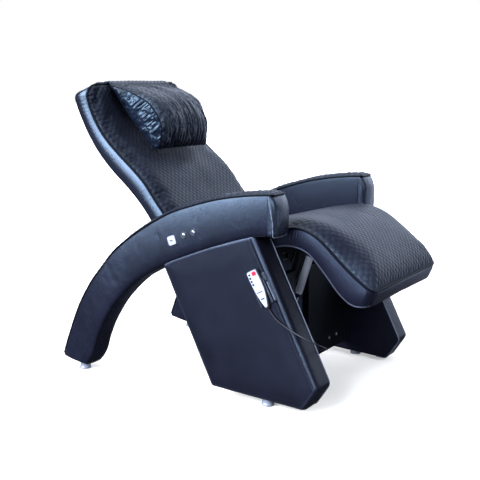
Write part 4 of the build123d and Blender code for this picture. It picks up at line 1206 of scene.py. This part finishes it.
def arm_cap_seam(name, side):
    """Pale beaded welt down both sides of the cap and underneath, leaning forward."""
    count = 2 * SIDE_POINTS + 2 * (CORNER_POINTS - 1) + LOW_POINTS - 2
    section = arm_section(ARM_LINE.depth[-1], ARM_IN, ARM_OUT, top_round=4.0, low_round=9.0,
                          side_bulge=2.0, low_bulge=1.5)[:count]
    y = -24.0 - 14.5 * ease(2.0, 95.0, section[:, 1])
    # follow the cap's front corners inwards
    past = np.clip(CAP_FRONT + CAP_ROUND - y, 0, 16.9)
    inset = CAP_ROUND - np.sqrt(CAP_ROUND ** 2 - past ** 2)
    x = ARM_MIDDLE + (section[:, 0] - ARM_MIDDLE) * (1 - inset / 49.0) * 1.008
    x = np.maximum(x, ARM_IN + 1.3)
    fine = np.linspace(0, count - 1, count * 5)
    rows = np.column_stack([side * x, y, ARM_LINE.top[-1, 1] - section[:, 1]])
    beads = 0.5 + 0.5 * np.sin(fine * 2.6 + 0.8 * np.sin(fine * 0.9))
    attach(cord("arm_cap_seam_" + name, sample(rows, np.arange(count), fine),
                1.15 + 0.75 * beads, MATERIALS["pale_piping"], 8), "base", "black_leather")


def make_arm(name, side):
    hide = arm_hide(name, side)
    arm_lower_welts(name, side)
    pad = arm_top(name, side)
    cap = arm_cap(name, side)
    arm_cap_seam(name, side)
    return hide, pad, cap


(right_hide, _, _), (_, left_pad, left_cap) = [make_arm(*item) for item in SIDES]
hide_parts("arm_covers")
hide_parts("arm_top_pads")
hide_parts("arm_front_caps")

# --- side panels --------------------------------------------------------------
# the leather overlaps the panel above and below, and a little at the upper rear corner
PANEL_LEATHER = [(y + (5.0 if i == 0 else 0.0), z + (14.0 if z > 400 else (-5.5 if z < 60 else 0.0)))
                 for i, (y, z) in enumerate(PANEL_POINTS)]
PANEL_OUTLINE = round_outline(PANEL_LEATHER, [13, 15, 14, 18, 13, 0, 0, 0, 0], 5.0)
# straight front edge, from its lower end
FRONT_LOW, FRONT_HIGH = np.array(PANEL_POINTS[3]), np.array(PANEL_POINTS[4])
FRONT_UNIT = (FRONT_HIGH - FRONT_LOW) / np.linalg.norm(FRONT_HIGH - FRONT_LOW)
FRONT_INWARD = np.array([FRONT_UNIT[1], -FRONT_UNIT[0]])
SEAM_INSET = 12.5
# (from distance, to distance, spacing) of the face points, measured from the rim
PANEL_BANDS = ((1.2, 12.0, 2.2), (12.0, 34.0, 5.0), (34.0, 1e9, 11.0))


def panel_relief(y, z, face):
    """Slow unevenness, and on the outer face a sunk seam beside the front edge."""
    height = 0.7 * value_noise(y / 120.0, z / 120.0, 61 + face, 2)
    if face > 0:
        offset = np.stack([y, z], axis=-1) - FRONT_LOW
        inset = np.abs(offset @ FRONT_INWARD)
        weight = ease(-6.0, 10.0, offset @ FRONT_UNIT)
        height = height - 2.4 * weight * bell(inset, SEAM_INSET, 2.0)
        height = height + 0.6 * weight * bell(inset, 19.0, 5.0)
    return height


def outline_index(y, z):
    """Index of the panel outline point nearest to (y, z)."""
    return int(np.argmin(np.hypot(PANEL_OUTLINE[:, 0] - y, PANEL_OUTLINE[:, 1] - z)))


def side_panel(name, side):
    panel = slab("side_panel_leather_" + name, PANEL_OUTLINE, side * PANEL_IN, side * PANEL_OUT,
                 MATERIALS["panel_leather"], round_in=3.0, round_out=11.0, edge_steps=10,
                 round_out_x=28.0, puff_in=0.8, puff_out=2.8, relief=panel_relief,
                 bands=PANEL_BANDS, painted_sheen=True)
    attach(panel, "base", "black_leather")
    if name == "right":
        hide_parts("side_panel_covers")
    # pale piping from the bottom edge round the corner and up the front edge
    run = PANEL_OUTLINE[outline_index(-110.0, 22.5):outline_index(30.0, 545.0) + 1]
    path = np.column_stack([np.full(len(run), side * (PANEL_IN + 1.4)), run - (0.3, 0.2)])
    attach(cord("panel_piping_" + name, smooth(path, 2), 2.0, MATERIALS["pale_piping"], 8),
           "base", "black_leather")
    # dark welt lying in the sunk seam
    run = (FRONT_LOW + np.linspace(2.0, 505.0, 90)[:, None] * FRONT_UNIT
           + FRONT_INWARD * SEAM_INSET)
    path = np.column_stack([np.full(90, side * (PANEL_OUT - 1.0)), run])
    attach(cord("panel_seam_" + name, path, 1.3, MATERIALS["piping"], 7),
           "base", "black_leather")


for side_name, side_sign in SIDES:
    side_panel(side_name, side_sign)

# --- head pillow --------------------------------------------------------------
# Section (y, z): from the bottom seam up the front to the top seam, and down the rear.
PILLOW_SECTION = np.array([
    (577, 801), (557, 817), (545, 846), (541, 885), (551, 927), (580, 968), (622, 993),
    (668, 1009), (708, 1017), (738, 1024), (757, 1034), (762, 1038.5), (764, 1033),
    (753, 1020), (735, 1003), (703, 951), (666, 899), (625, 847), (598, 814)], float)
PILLOW_LOW, PILLOW_HIGH = np.array([577.0, 801.0]), np.array([762.0, 1038.0])
PILLOW_HALF_WIDTH = 184.0
# the chord between the seams, and the direction square to it towards the front
CHORD = (PILLOW_HIGH - PILLOW_LOW) / np.linalg.norm(PILLOW_HIGH - PILLOW_LOW)
CHORD_FRONT = np.array([-CHORD[1], CHORD[0]])


def section_loop(points, count):
    """Smooth closed loop through points, as count even points."""
    per_span = 16
    wrapped = np.vstack([points[-2:], points, points[:3]])
    loop = spline(wrapped, per_span)[per_span * 2:per_span * (2 + len(points)) + 1]
    loop = smooth(loop, 6)
    run = arc_length(loop)
    return sample(loop, run, np.linspace(0, run[-1], count, endpoint=False))


def pillow_cover():
    """Quilted cover, pleated along its bottom seam; returns its rings."""
    section = section_loop(PILLOW_SECTION, grade(260))
    run = arc_length(np.vstack([section, section[:1]]))
    around, total = run[:-1], run[-1]
    lowest = int(np.argmin(np.linalg.norm(section - PILLOW_LOW, axis=1)))
    from_seam = np.abs((around - around[lowest] + total / 2) % total - total / 2)
    up_chord = (section - PILLOW_LOW) @ CHORD
    off_chord = (section - PILLOW_LOW) @ CHORD_FRONT
    front = off_chord > 8
    tangent = np.roll(section, -1, 0) - np.roll(section, 1, 0)
    tangent /= np.linalg.norm(tangent, axis=1)[:, None]
    normal = np.stack([tangent[:, 1], -tangent[:, 0]], axis=1)
    centre = section.mean(0)
    normal = normal * np.median(np.sign(np.sum(normal * (section - centre), axis=1)))
    rings, relief, quilt = [], [], []
    for share in np.linspace(-1, 1, grade(150)):
        # full in the middle, thinner towards the ends and more so at the left
        fullness = (1.0 - 0.06 * abs(share) ** 3 - 0.07 * ease(0.86, 1.0, abs(share)) ** 1.5
                    - 0.17 * ease(-0.1, 1.0, share))
        # the lower corners come in more than the upper ones
        x = share * (PILLOW_HALF_WIDTH
                     - (26.0 + 12.0 * (share > 0)) * ease(0.0, 1.0, 1 - up_chord / 300.0))
        # pleats along the bottom seam, of uneven length and depth
        lean = x + 0.10 * from_seam
        phase = lean / 19.0 + 0.55 * value_noise(lean / 42.0, 3.0, 71)
        wave = np.abs(np.sin(np.pi * phase))
        length = 40.0 + 44.0 * (0.5 + 0.5 * value_noise(lean / 17.0, 9.0, 72))
        pleat = np.exp(-(from_seam / length) ** 1.5) * ease(-30, 0, off_chord)
        height = 8.5 * pleat * (wave ** 0.55 - 0.62) * ease(0, 6, from_seam)
        creases = np.abs(value_noise(lean / 14.0, around / 105.0, 77, 2)) - 0.3
        height = height + 4.2 * creases * front * (1 - 0.7 * pleat)
        # soft folds of the loose cover
        height = height + 2.0 * value_noise(around / 60.0, x / 70.0, 73, 2) * front
        ring = (PILLOW_LOW + up_chord[:, None] * CHORD
                + (off_chord * fullness)[:, None] * CHORD_FRONT)
        ring = ring + normal * height[:, None] * (0.15 + 0.85 * front[:, None])
        rings.append(np.column_stack([x, ring]))
        diamonds = quilt_height(around, x)
        relief.append(1.2 * diamonds * (0.3 + 0.7 * front) * ease(0, 6, from_seam))
        # painted shade: the quilt attribute darkens the quilting valleys and is lowered further in
        # the troughs of the pleats
        quilt.append(diamonds * (1 - 0.5 * pleat * (1 - wave)))
    rings = np.array(rings)
    pin = np.zeros(rings.shape[:2])
    pin[:, (from_seam < 4.0) | (off_chord < 6.0)] = 1.0
    pin[:2] = 1.0
    pin[-2:] = 1.0
    rings = rings + cloth_move(
        "pillow_cloth", rings, pin, pressure=2.6, grow=0.075, cap=11.0, bend=0.15, wrap=True,
        outward=lambda point: np.array([0.0, *(point[1:] - centre)]))
    outward = outward_normals(rings, rings[..., 1:] - centre, wrap=True)
    rings = rings + outward * np.array(relief)[..., None]
    cover = closed_tube("pillow_quilted_cover", rings, MATERIALS["cover_leather"],
                        {"quilt": np.array(quilt)})
    attach(cover, "pillow", "quilted_leather", "head_pillow")
    return rings


def pillow_end(name, side, rim):
    """Gathered end: a dome of leather pleated into the rim, and the rim's welt."""
    up_chord = (rim[:, 1:] - PILLOW_LOW) @ CHORD
    off_chord = (rim[:, 1:] - PILLOW_LOW) @ CHORD_FRONT
    middle = 0.5 * (up_chord.max() + up_chord.min())
    centre = rim.mean(0)
    inner = np.column_stack([rim[:, 0] - side * 6.0, rim[:, 1:]])
    inner_centre = inner.mean(0)
    rings = [inner_centre + (inner - inner_centre) * 0.97, rim]
    # the rings close towards a short line along the chord
    for part in np.linspace(0, 1, grade(40))[1:]:
        shrink = 1 - part * 0.97
        along = middle + (up_chord - middle) * (1 - part * 0.35)
        off = off_chord.mean() + (off_chord - off_chord.mean()) * shrink
        dome = 17.0 * math.sin(0.5 * math.pi * part) ** 0.75
        # the folds run from the front edge to the rear edge
        wander = 0.3 * value_noise(along / 30.0, off / 25.0, 75)
        broad = 1 - np.abs(value_noise(along / 15.0 + wander, off / 48.0, 76)) * 1.9
        fine = 1 - np.abs(value_noise(along / 8.5, off / 20.0 + 3.0, 78)) * 1.9
        fold = 5.6 * (broad - 0.3) + 3.2 * (fine - 0.3)
        fold = (fold * math.sin(math.pi * min(1, part * 0.9 + 0.06)) * (0.5 + 0.5 * shrink))
        rings.append(np.column_stack([
            rim[:, 0] + side * (dome + fold),
            PILLOW_LOW + along[:, None] * CHORD + off[:, None] * CHORD_FRONT]))
    attach(closed_tube("pillow_end_" + name, np.array(rings), MATERIALS["pillow_leather"]),
           "pillow", "pillow_leather")
    path = smooth(np.vstack([rim, rim[:1]]), 4)[:-1]
    attach(cord("pillow_end_welt_" + name, path, 2.2, MATERIALS["piping"], 8, closed=True),
           "pillow", "black_leather")


cover_rings = pillow_cover()
pillow_end("right", -1, cover_rings[0])
pillow_end("left", 1, cover_rings[-1])

# small dark dash on the white power button, outline (y, z)
DASH = [(340.5, 521.6), (352.0, 520.4), (352.3, 523.4), (340.8, 524.6)]
attach(slab("power_button_mark", round_outline(DASH, 1.3, 0.7), -393.75, -394.35,
            MATERIALS["dark_button"], round_in=0.2, round_out=0.4, edge_steps=3),
       "arm_power_button", "dark_button")

# --- pillow flap --------------------------------------------------------------
# Centre line (y, z) from the pillow over the top of the back and down behind it.
FLAP_LINE = [(750, 1026), (757, 1034.0), (765, 1040.0), (776, 1043.2), (790, 1042.0),
             (808, 1036.0), (829, 1018.5), (847.5, 996.0), (846.0, 982.0), (841.0, 968.0)]


def pillow_flap():
    edge = spline(FLAP_LINE, 16)
    run = arc_length(edge)
    places = np.arange(0, run[-1], grade(2.4))
    edge = sample(edge, run, places)
    inner = edge + np.array([0.0, -30.0]) + (np.array([800.0, 990.0]) - edge) * 0.5
    normal = edge_normals(edge, inner)
    columns = grade(140)
    half = 172.0 + 6.0 * np.cos(places / run[-1] * 3.0)
    x = np.linspace(-1, 1, columns)[None, :] * half[:, None]
    along = np.repeat(places[:, None], columns, 1)
    from_side = half[:, None] - np.abs(x)
    rise = edge_crown(from_side, 12.0)
    diamonds = quilt_height(along, x)
    height = (1.4 * rise + 1.7 * diamonds * ease(0, 5, from_side)
              + rise * value_noise(along / 30.0, x / 45.0, 81))
    # the quilt attribute paints shade in the quilting valleys
    flap = closed_pad("pillow_quilted_flap", lifted_grid(x, edge, normal, height), -half, half,
                      edge - normal * 2.2, MATERIALS["quilted_leather"], {"quilt": diamonds})
    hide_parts("pillow_flap")
    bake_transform(flap)


pillow_flap()

# --- handset and holster ------------------------------------------------------
# Handset outlines are (down its length, towards its front edge) from its top centre.
HANDSET_TOP, HANDSET_TIP = np.array([34.0, 453.0]), np.array([-27.0, 340.0])
HANDSET_DOWN = (HANDSET_TIP - HANDSET_TOP) / np.linalg.norm(HANDSET_TIP - HANDSET_TOP)
HANDSET_FRONT = np.array([HANDSET_DOWN[1], -HANDSET_DOWN[0]])
HANDSET_X = -PANEL_OUT - 3.6        # inner face of the handset
SHELL = [(-3, -21), (-3, 21), (36, 22.8), (70, 21.6), (100, 14.8), (127.5, 6.2), (127.5, -6.2),
         (100, -13.5), (70, -18.6), (36, -20.6)]
SHELL_RADII = [9, 9, 60, 60, 30, 8, 8, 30, 60, 60]
FACE_PLATE = [(0.2, -18), (0.2, 18), (36, 19.8), (70, 18.8), (100, 12.0), (123.5, 4.6),
              (123.5, -4.6), (100, -10.8), (70, -15.8), (36, -17.7)]
FACE_RADII = [6, 6, 60, 60, 30, 6, 6, 30, 60, 60]
RIDGES = [(72.0, 11.0, 1.3), (95.0, 6.5, 1.9)]      # (down, half length, half height)
KEYS = [(9.5, -10.0), (20.5, -11.5), (31.5, -11.5), (42.5, -11.0)]
KEY_RADIUS = 3.3
HOLSTER_PLATE = [(18, -25), (18, 38), (118, 38), (118, -25)]
# (name, outline, height off the panel, material)
HOLSTER_PARTS = [
    ("front", [(36, 24.4), (36, 28.4), (118, 28.4), (118, 21.0)], 15.0, "holster_leather"),
    ("rear", [(64, -20.9), (64, -24.6), (118, -24.6), (118, -17.5)], 13.0, "holster_leather"),
    ("strip", [(51, 30.0), (51, 33.2), (115, 33.2), (115, 30.0)], 7.5, "pale_piping"),
    ("keeper", [(20, 25.0), (20, 36.5), (46, 36.5), (46, 25.0)], 8.5, "holster_leather"),
]


def on_handset(down, front):
    return HANDSET_TOP + down * HANDSET_DOWN + front * HANDSET_FRONT


def handset_outline(points, radii, step):
    return round_outline([on_handset(*point) for point in points], radii, step)


def handset():
    attach(slab("handset_shell", handset_outline(SHELL, SHELL_RADII, 1.5), HANDSET_X,
                HANDSET_X - 14.4, MATERIALS["black_plastic"], round_in=3.0, round_out=2.6,
                edge_steps=5), "handset", "black_plastic", "handset_body")
    attach(slab("handset_face_plate", handset_outline(FACE_PLATE, FACE_RADII, 1.5),
                HANDSET_X - 14.2, HANDSET_X - 15.8, MATERIALS["white_plastic"], round_in=0.3,
                round_out=0.9, edge_steps=4), "handset", "white_plastic", "handset_face")
    # two plain ridges across the lower half of the face
    for number, (down, half, thick) in enumerate(RIDGES, 1):
        points = [(down - thick, -half), (down + thick, -half), (down + thick, half),
                  (down - thick, half)]
        attach(slab(f"handset_ridge_{number}", handset_outline(points, 0.8, 0.6),
                    HANDSET_X - 15.4, HANDSET_X - 16.4, MATERIALS["dark_button"], round_in=0.2,
                    round_out=0.4, edge_steps=3), "handset", "dark_button")
    # dark caps over the four small keys
    for number, key in enumerate(KEYS, 1):
        rim = [on_handset(*key) + KEY_RADIUS * np.array([math.cos(angle), math.sin(angle)])
               for angle in np.linspace(0, 2 * np.pi, 20, endpoint=False)]
        attach(slab(f"handset_key_cap_{number}", rim, HANDSET_X - 16.92, HANDSET_X - 17.7,
                    MATERIALS["dark_button"], round_in=0.15, round_out=0.5, edge_steps=3),
               f"handset_key_{number}", "dark_button")


def holster():
    """Back plate on the right panel's outer face, with four raised strips."""
    attach(slab("holster_back", handset_outline(HOLSTER_PLATE, 6.0, 2.0), -PANEL_OUT - 0.2,
                -PANEL_OUT - 3.2, MATERIALS["holster_leather"], round_in=0.6, round_out=1.4,
                edge_steps=4), "base", "holster_leather", "handset_holster")
    for name, points, height, material in HOLSTER_PARTS:
        attach(slab("holster_" + name, handset_outline(points, 1.4, 1.2), -PANEL_OUT - 2.8,
                    -PANEL_OUT - height, MATERIALS[material], round_in=0.5, round_out=1.1,
                    edge_steps=4), "base", "holster_leather")


handset()
holster()

# Lead (x, y, z): from the handset's tip back along the panel, round its edge and inside.
LEAD_POINTS = [
    (-392.0, -23.5, 347.0), (-391.4, -27.0, 339.0), (-391.0, -31.5, 330.0),
    (-392.0, -54.5, 306.0), (-390.5, -89.0, 284.5), (-389.5, -125.0, 268.0),
    (-387.0, -158.0, 255.0), (-376.0, -190.0, 240.0), (-340.0, -199.0, 222.0),
    (-306.0, -190.0, 207.0), (-286.0, -152.0, 197.0), (-281.0, -128.0, 225.0),
    (-279.0, -100.0, 275.0), (-276.0, -60.0, 318.0), (-262.0, -10.0, 330.0),
    (-240.0, 14.0, 330.0),
]
lead = cord("handset_lead", spline(LEAD_POINTS, 14), 2.6, MATERIALS["cord_rubber"], 10)
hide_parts("handset_cord")
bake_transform(lead)

# soft edges on the CAD pieces that stay visible, widths in metres
for node_name, width in (
        ("cross_panel", 0.0025), ("actuator_gearbox", 0.002), ("rocker_plates", 0.0006),
        ("actuator_upper_clevis", 0.0006), ("actuator_lower_clevis", 0.0006),
        ("actuator_cross_tube", 0.0015)):
    bevel = NODES[node_name].modifiers.new("soft_edge", "BEVEL")
    bevel.width = width
    bevel.segments = 3
    bevel.limit_method = "ANGLE"
    bevel.angle_limit = math.radians(40)


# --- stage, lights and camera (metres) ----------------------------------------
def stage_material(name):
    """White floor: bright to the camera, dimmer in reflections."""
    material = bpy.data.materials.new(name)
    tree = empty_tree(material)
    output = node(tree, "ShaderNodeOutputMaterial")
    light_path = node(tree, "ShaderNodeLightPath")
    seen = node(tree, "ShaderNodeBsdfDiffuse", {0: (0.965, 0.88, 0.73, 1)})
    glow = node(tree, "ShaderNodeEmission", {0: (1.0, 1.0, 1.0, 1), 1: 0.22})
    bright = node(tree, "ShaderNodeAddShader", {0: seen.outputs[0], 1: glow.outputs[0]})
    # reflections see a floor that is brighter towards the chair's front left
    position = node(tree, "ShaderNodeNewGeometry").outputs["Position"]
    reach = node(tree, "ShaderNodeVectorMath", {0: position, 1: (0.84, -0.54, 0.0)},
                 operation="DOT_PRODUCT").outputs["Value"]
    shade = colour_ramp(tree, map_range(tree, reach, from_min=0.9, from_max=2.4),
                        (0.0, (0.06, 0.06, 0.065)), (1.0, (0.34, 0.35, 0.38)))
    reflected = node(tree, "ShaderNodeBsdfDiffuse", {0: shade})
    mixed = node(tree, "ShaderNodeMixShader", {0: light_path.outputs["Is Camera Ray"],
                                               1: reflected.outputs[0], 2: bright.outputs[0]})
    feed(output, {0: mixed.outputs[0]})
    return material


floor_mesh = bpy.data.meshes.new("floor")
floor_mesh.from_pydata([(-30, -30, 0), (30, -30, 0), (30, 30, 0), (-30, 30, 0)], [],
                       [(0, 1, 2, 3)])
floor = bpy.data.objects.new("floor", floor_mesh)
bpy.context.scene.collection.objects.link(floor)
floor_mesh.materials.append(stage_material("floor"))

# Soft round lights in the sky: azimuth from +X, elevation, angle of full strength, angle
# where it ends (all degrees), strength.
LOBES = [
    (149.0, 33.0, 13.0, 33.0, 19.0),    # high box at the right rear
    (171.0, 20.0, 8.0, 30.0, 13.0),     # its lower wing at the right
    (-122.0, 28.0, 4.0, 22.0, 15.0),    # narrow box at the front right
    (30.0, 5.0, 14.0, 45.0, 1.35),      # low backdrop at the left rear
    (-6.0, 34.0, 12.0, 42.0, 1.9),      # broad light over the left side
    (-26.0, 12.0, 6.0, 30.0, 1.2),      # low fill from the front left
    (0.0, 90.0, 5.0, 40.0, 0.7),        # ceiling
]
SKY_GLOW = 0.04                         # strength everywhere


def lobe(tree, direction, azimuth, elevation, inner, outer, strength):
    azimuth, elevation = math.radians(azimuth), math.radians(elevation)
    aim = (math.cos(elevation) * math.cos(azimuth), math.cos(elevation) * math.sin(azimuth),
           math.sin(elevation))
    cosine = node(tree, "ShaderNodeVectorMath", {0: direction, 1: aim}, operation="DOT_PRODUCT")
    return map_range(tree, cosine.outputs["Value"], from_min=math.cos(math.radians(outer)),
                     from_max=math.cos(math.radians(inner)), to_max=strength,
                     interpolation_type="SMOOTHERSTEP")


def studio_world():
    """Sky of soft lights; the camera sees plain white."""
    world = bpy.data.worlds.new("studio")
    bpy.context.scene.world = world
    tree = empty_tree(world)
    output = node(tree, "ShaderNodeOutputWorld")
    generated = node(tree, "ShaderNodeTexCoord").outputs["Generated"]
    direction = node(tree, "ShaderNodeVectorMath", {0: generated},
                     operation="NORMALIZE").outputs[0]
    total = lobe(tree, direction, *LOBES[0])
    for settings in LOBES[1:]:
        total = math_node(tree, "ADD", total, lobe(tree, direction, *settings))
    total = math_node(tree, "ADD", total, SKY_GLOW)
    sky = node(tree, "ShaderNodeBackground", {0: (0.70, 0.79, 1.0, 1), 1: total})
    white = node(tree, "ShaderNodeBackground", {0: (1, 1, 1, 1), 1: 1.0})
    light_path = node(tree, "ShaderNodeLightPath")
    mixed = node(tree, "ShaderNodeMixShader", {0: light_path.outputs["Is Camera Ray"],
                                               1: sky.outputs[0], 2: white.outputs[0]})
    feed(output, {0: mixed.outputs[0]})


def top_light(location, target, size, energy, colour):
    light = bpy.data.lights.new("top", "AREA")
    light.shape = "RECTANGLE"
    light.size = size
    light.size_y = size
    light.energy = energy
    light.color = colour
    lamp = bpy.data.objects.new("top", light)
    lamp.location = location
    aim = Vector(target) - Vector(location)
    lamp.rotation_euler = aim.to_track_quat("-Z", "Y").to_euler()
    bpy.context.scene.collection.objects.link(lamp)


def add_camera(location, aim, lens):
    data = bpy.data.cameras.new("camera")
    data.sensor_width = 36.0
    data.lens = lens
    camera = bpy.data.objects.new("camera", data)
    bpy.context.scene.collection.objects.link(camera)
    camera.location = location
    aim = Vector(aim).normalized()
    right = aim.cross(Vector((0, 0, 1))).normalized()
    up = right.cross(aim).normalized()
    camera.rotation_euler = Matrix((right, up, -aim)).transposed().to_euler()
    bpy.context.scene.camera = camera


studio_world()
top_light(location=(0.2, 0.5, 3.4), target=(0, 0, 0.3), size=2.4, energy=60,
          colour=(0.90, 0.96, 1.0))
add_camera(location=(-2.8901, -1.4372 - FEET_Y / 1000.0, 1.0540),
           aim=(0.8424, 0.5113, -0.1705), lens=69.99)
bpy.context.scene.view_settings.view_transform = "Standard"
bpy.context.scene.view_settings.look = "None"

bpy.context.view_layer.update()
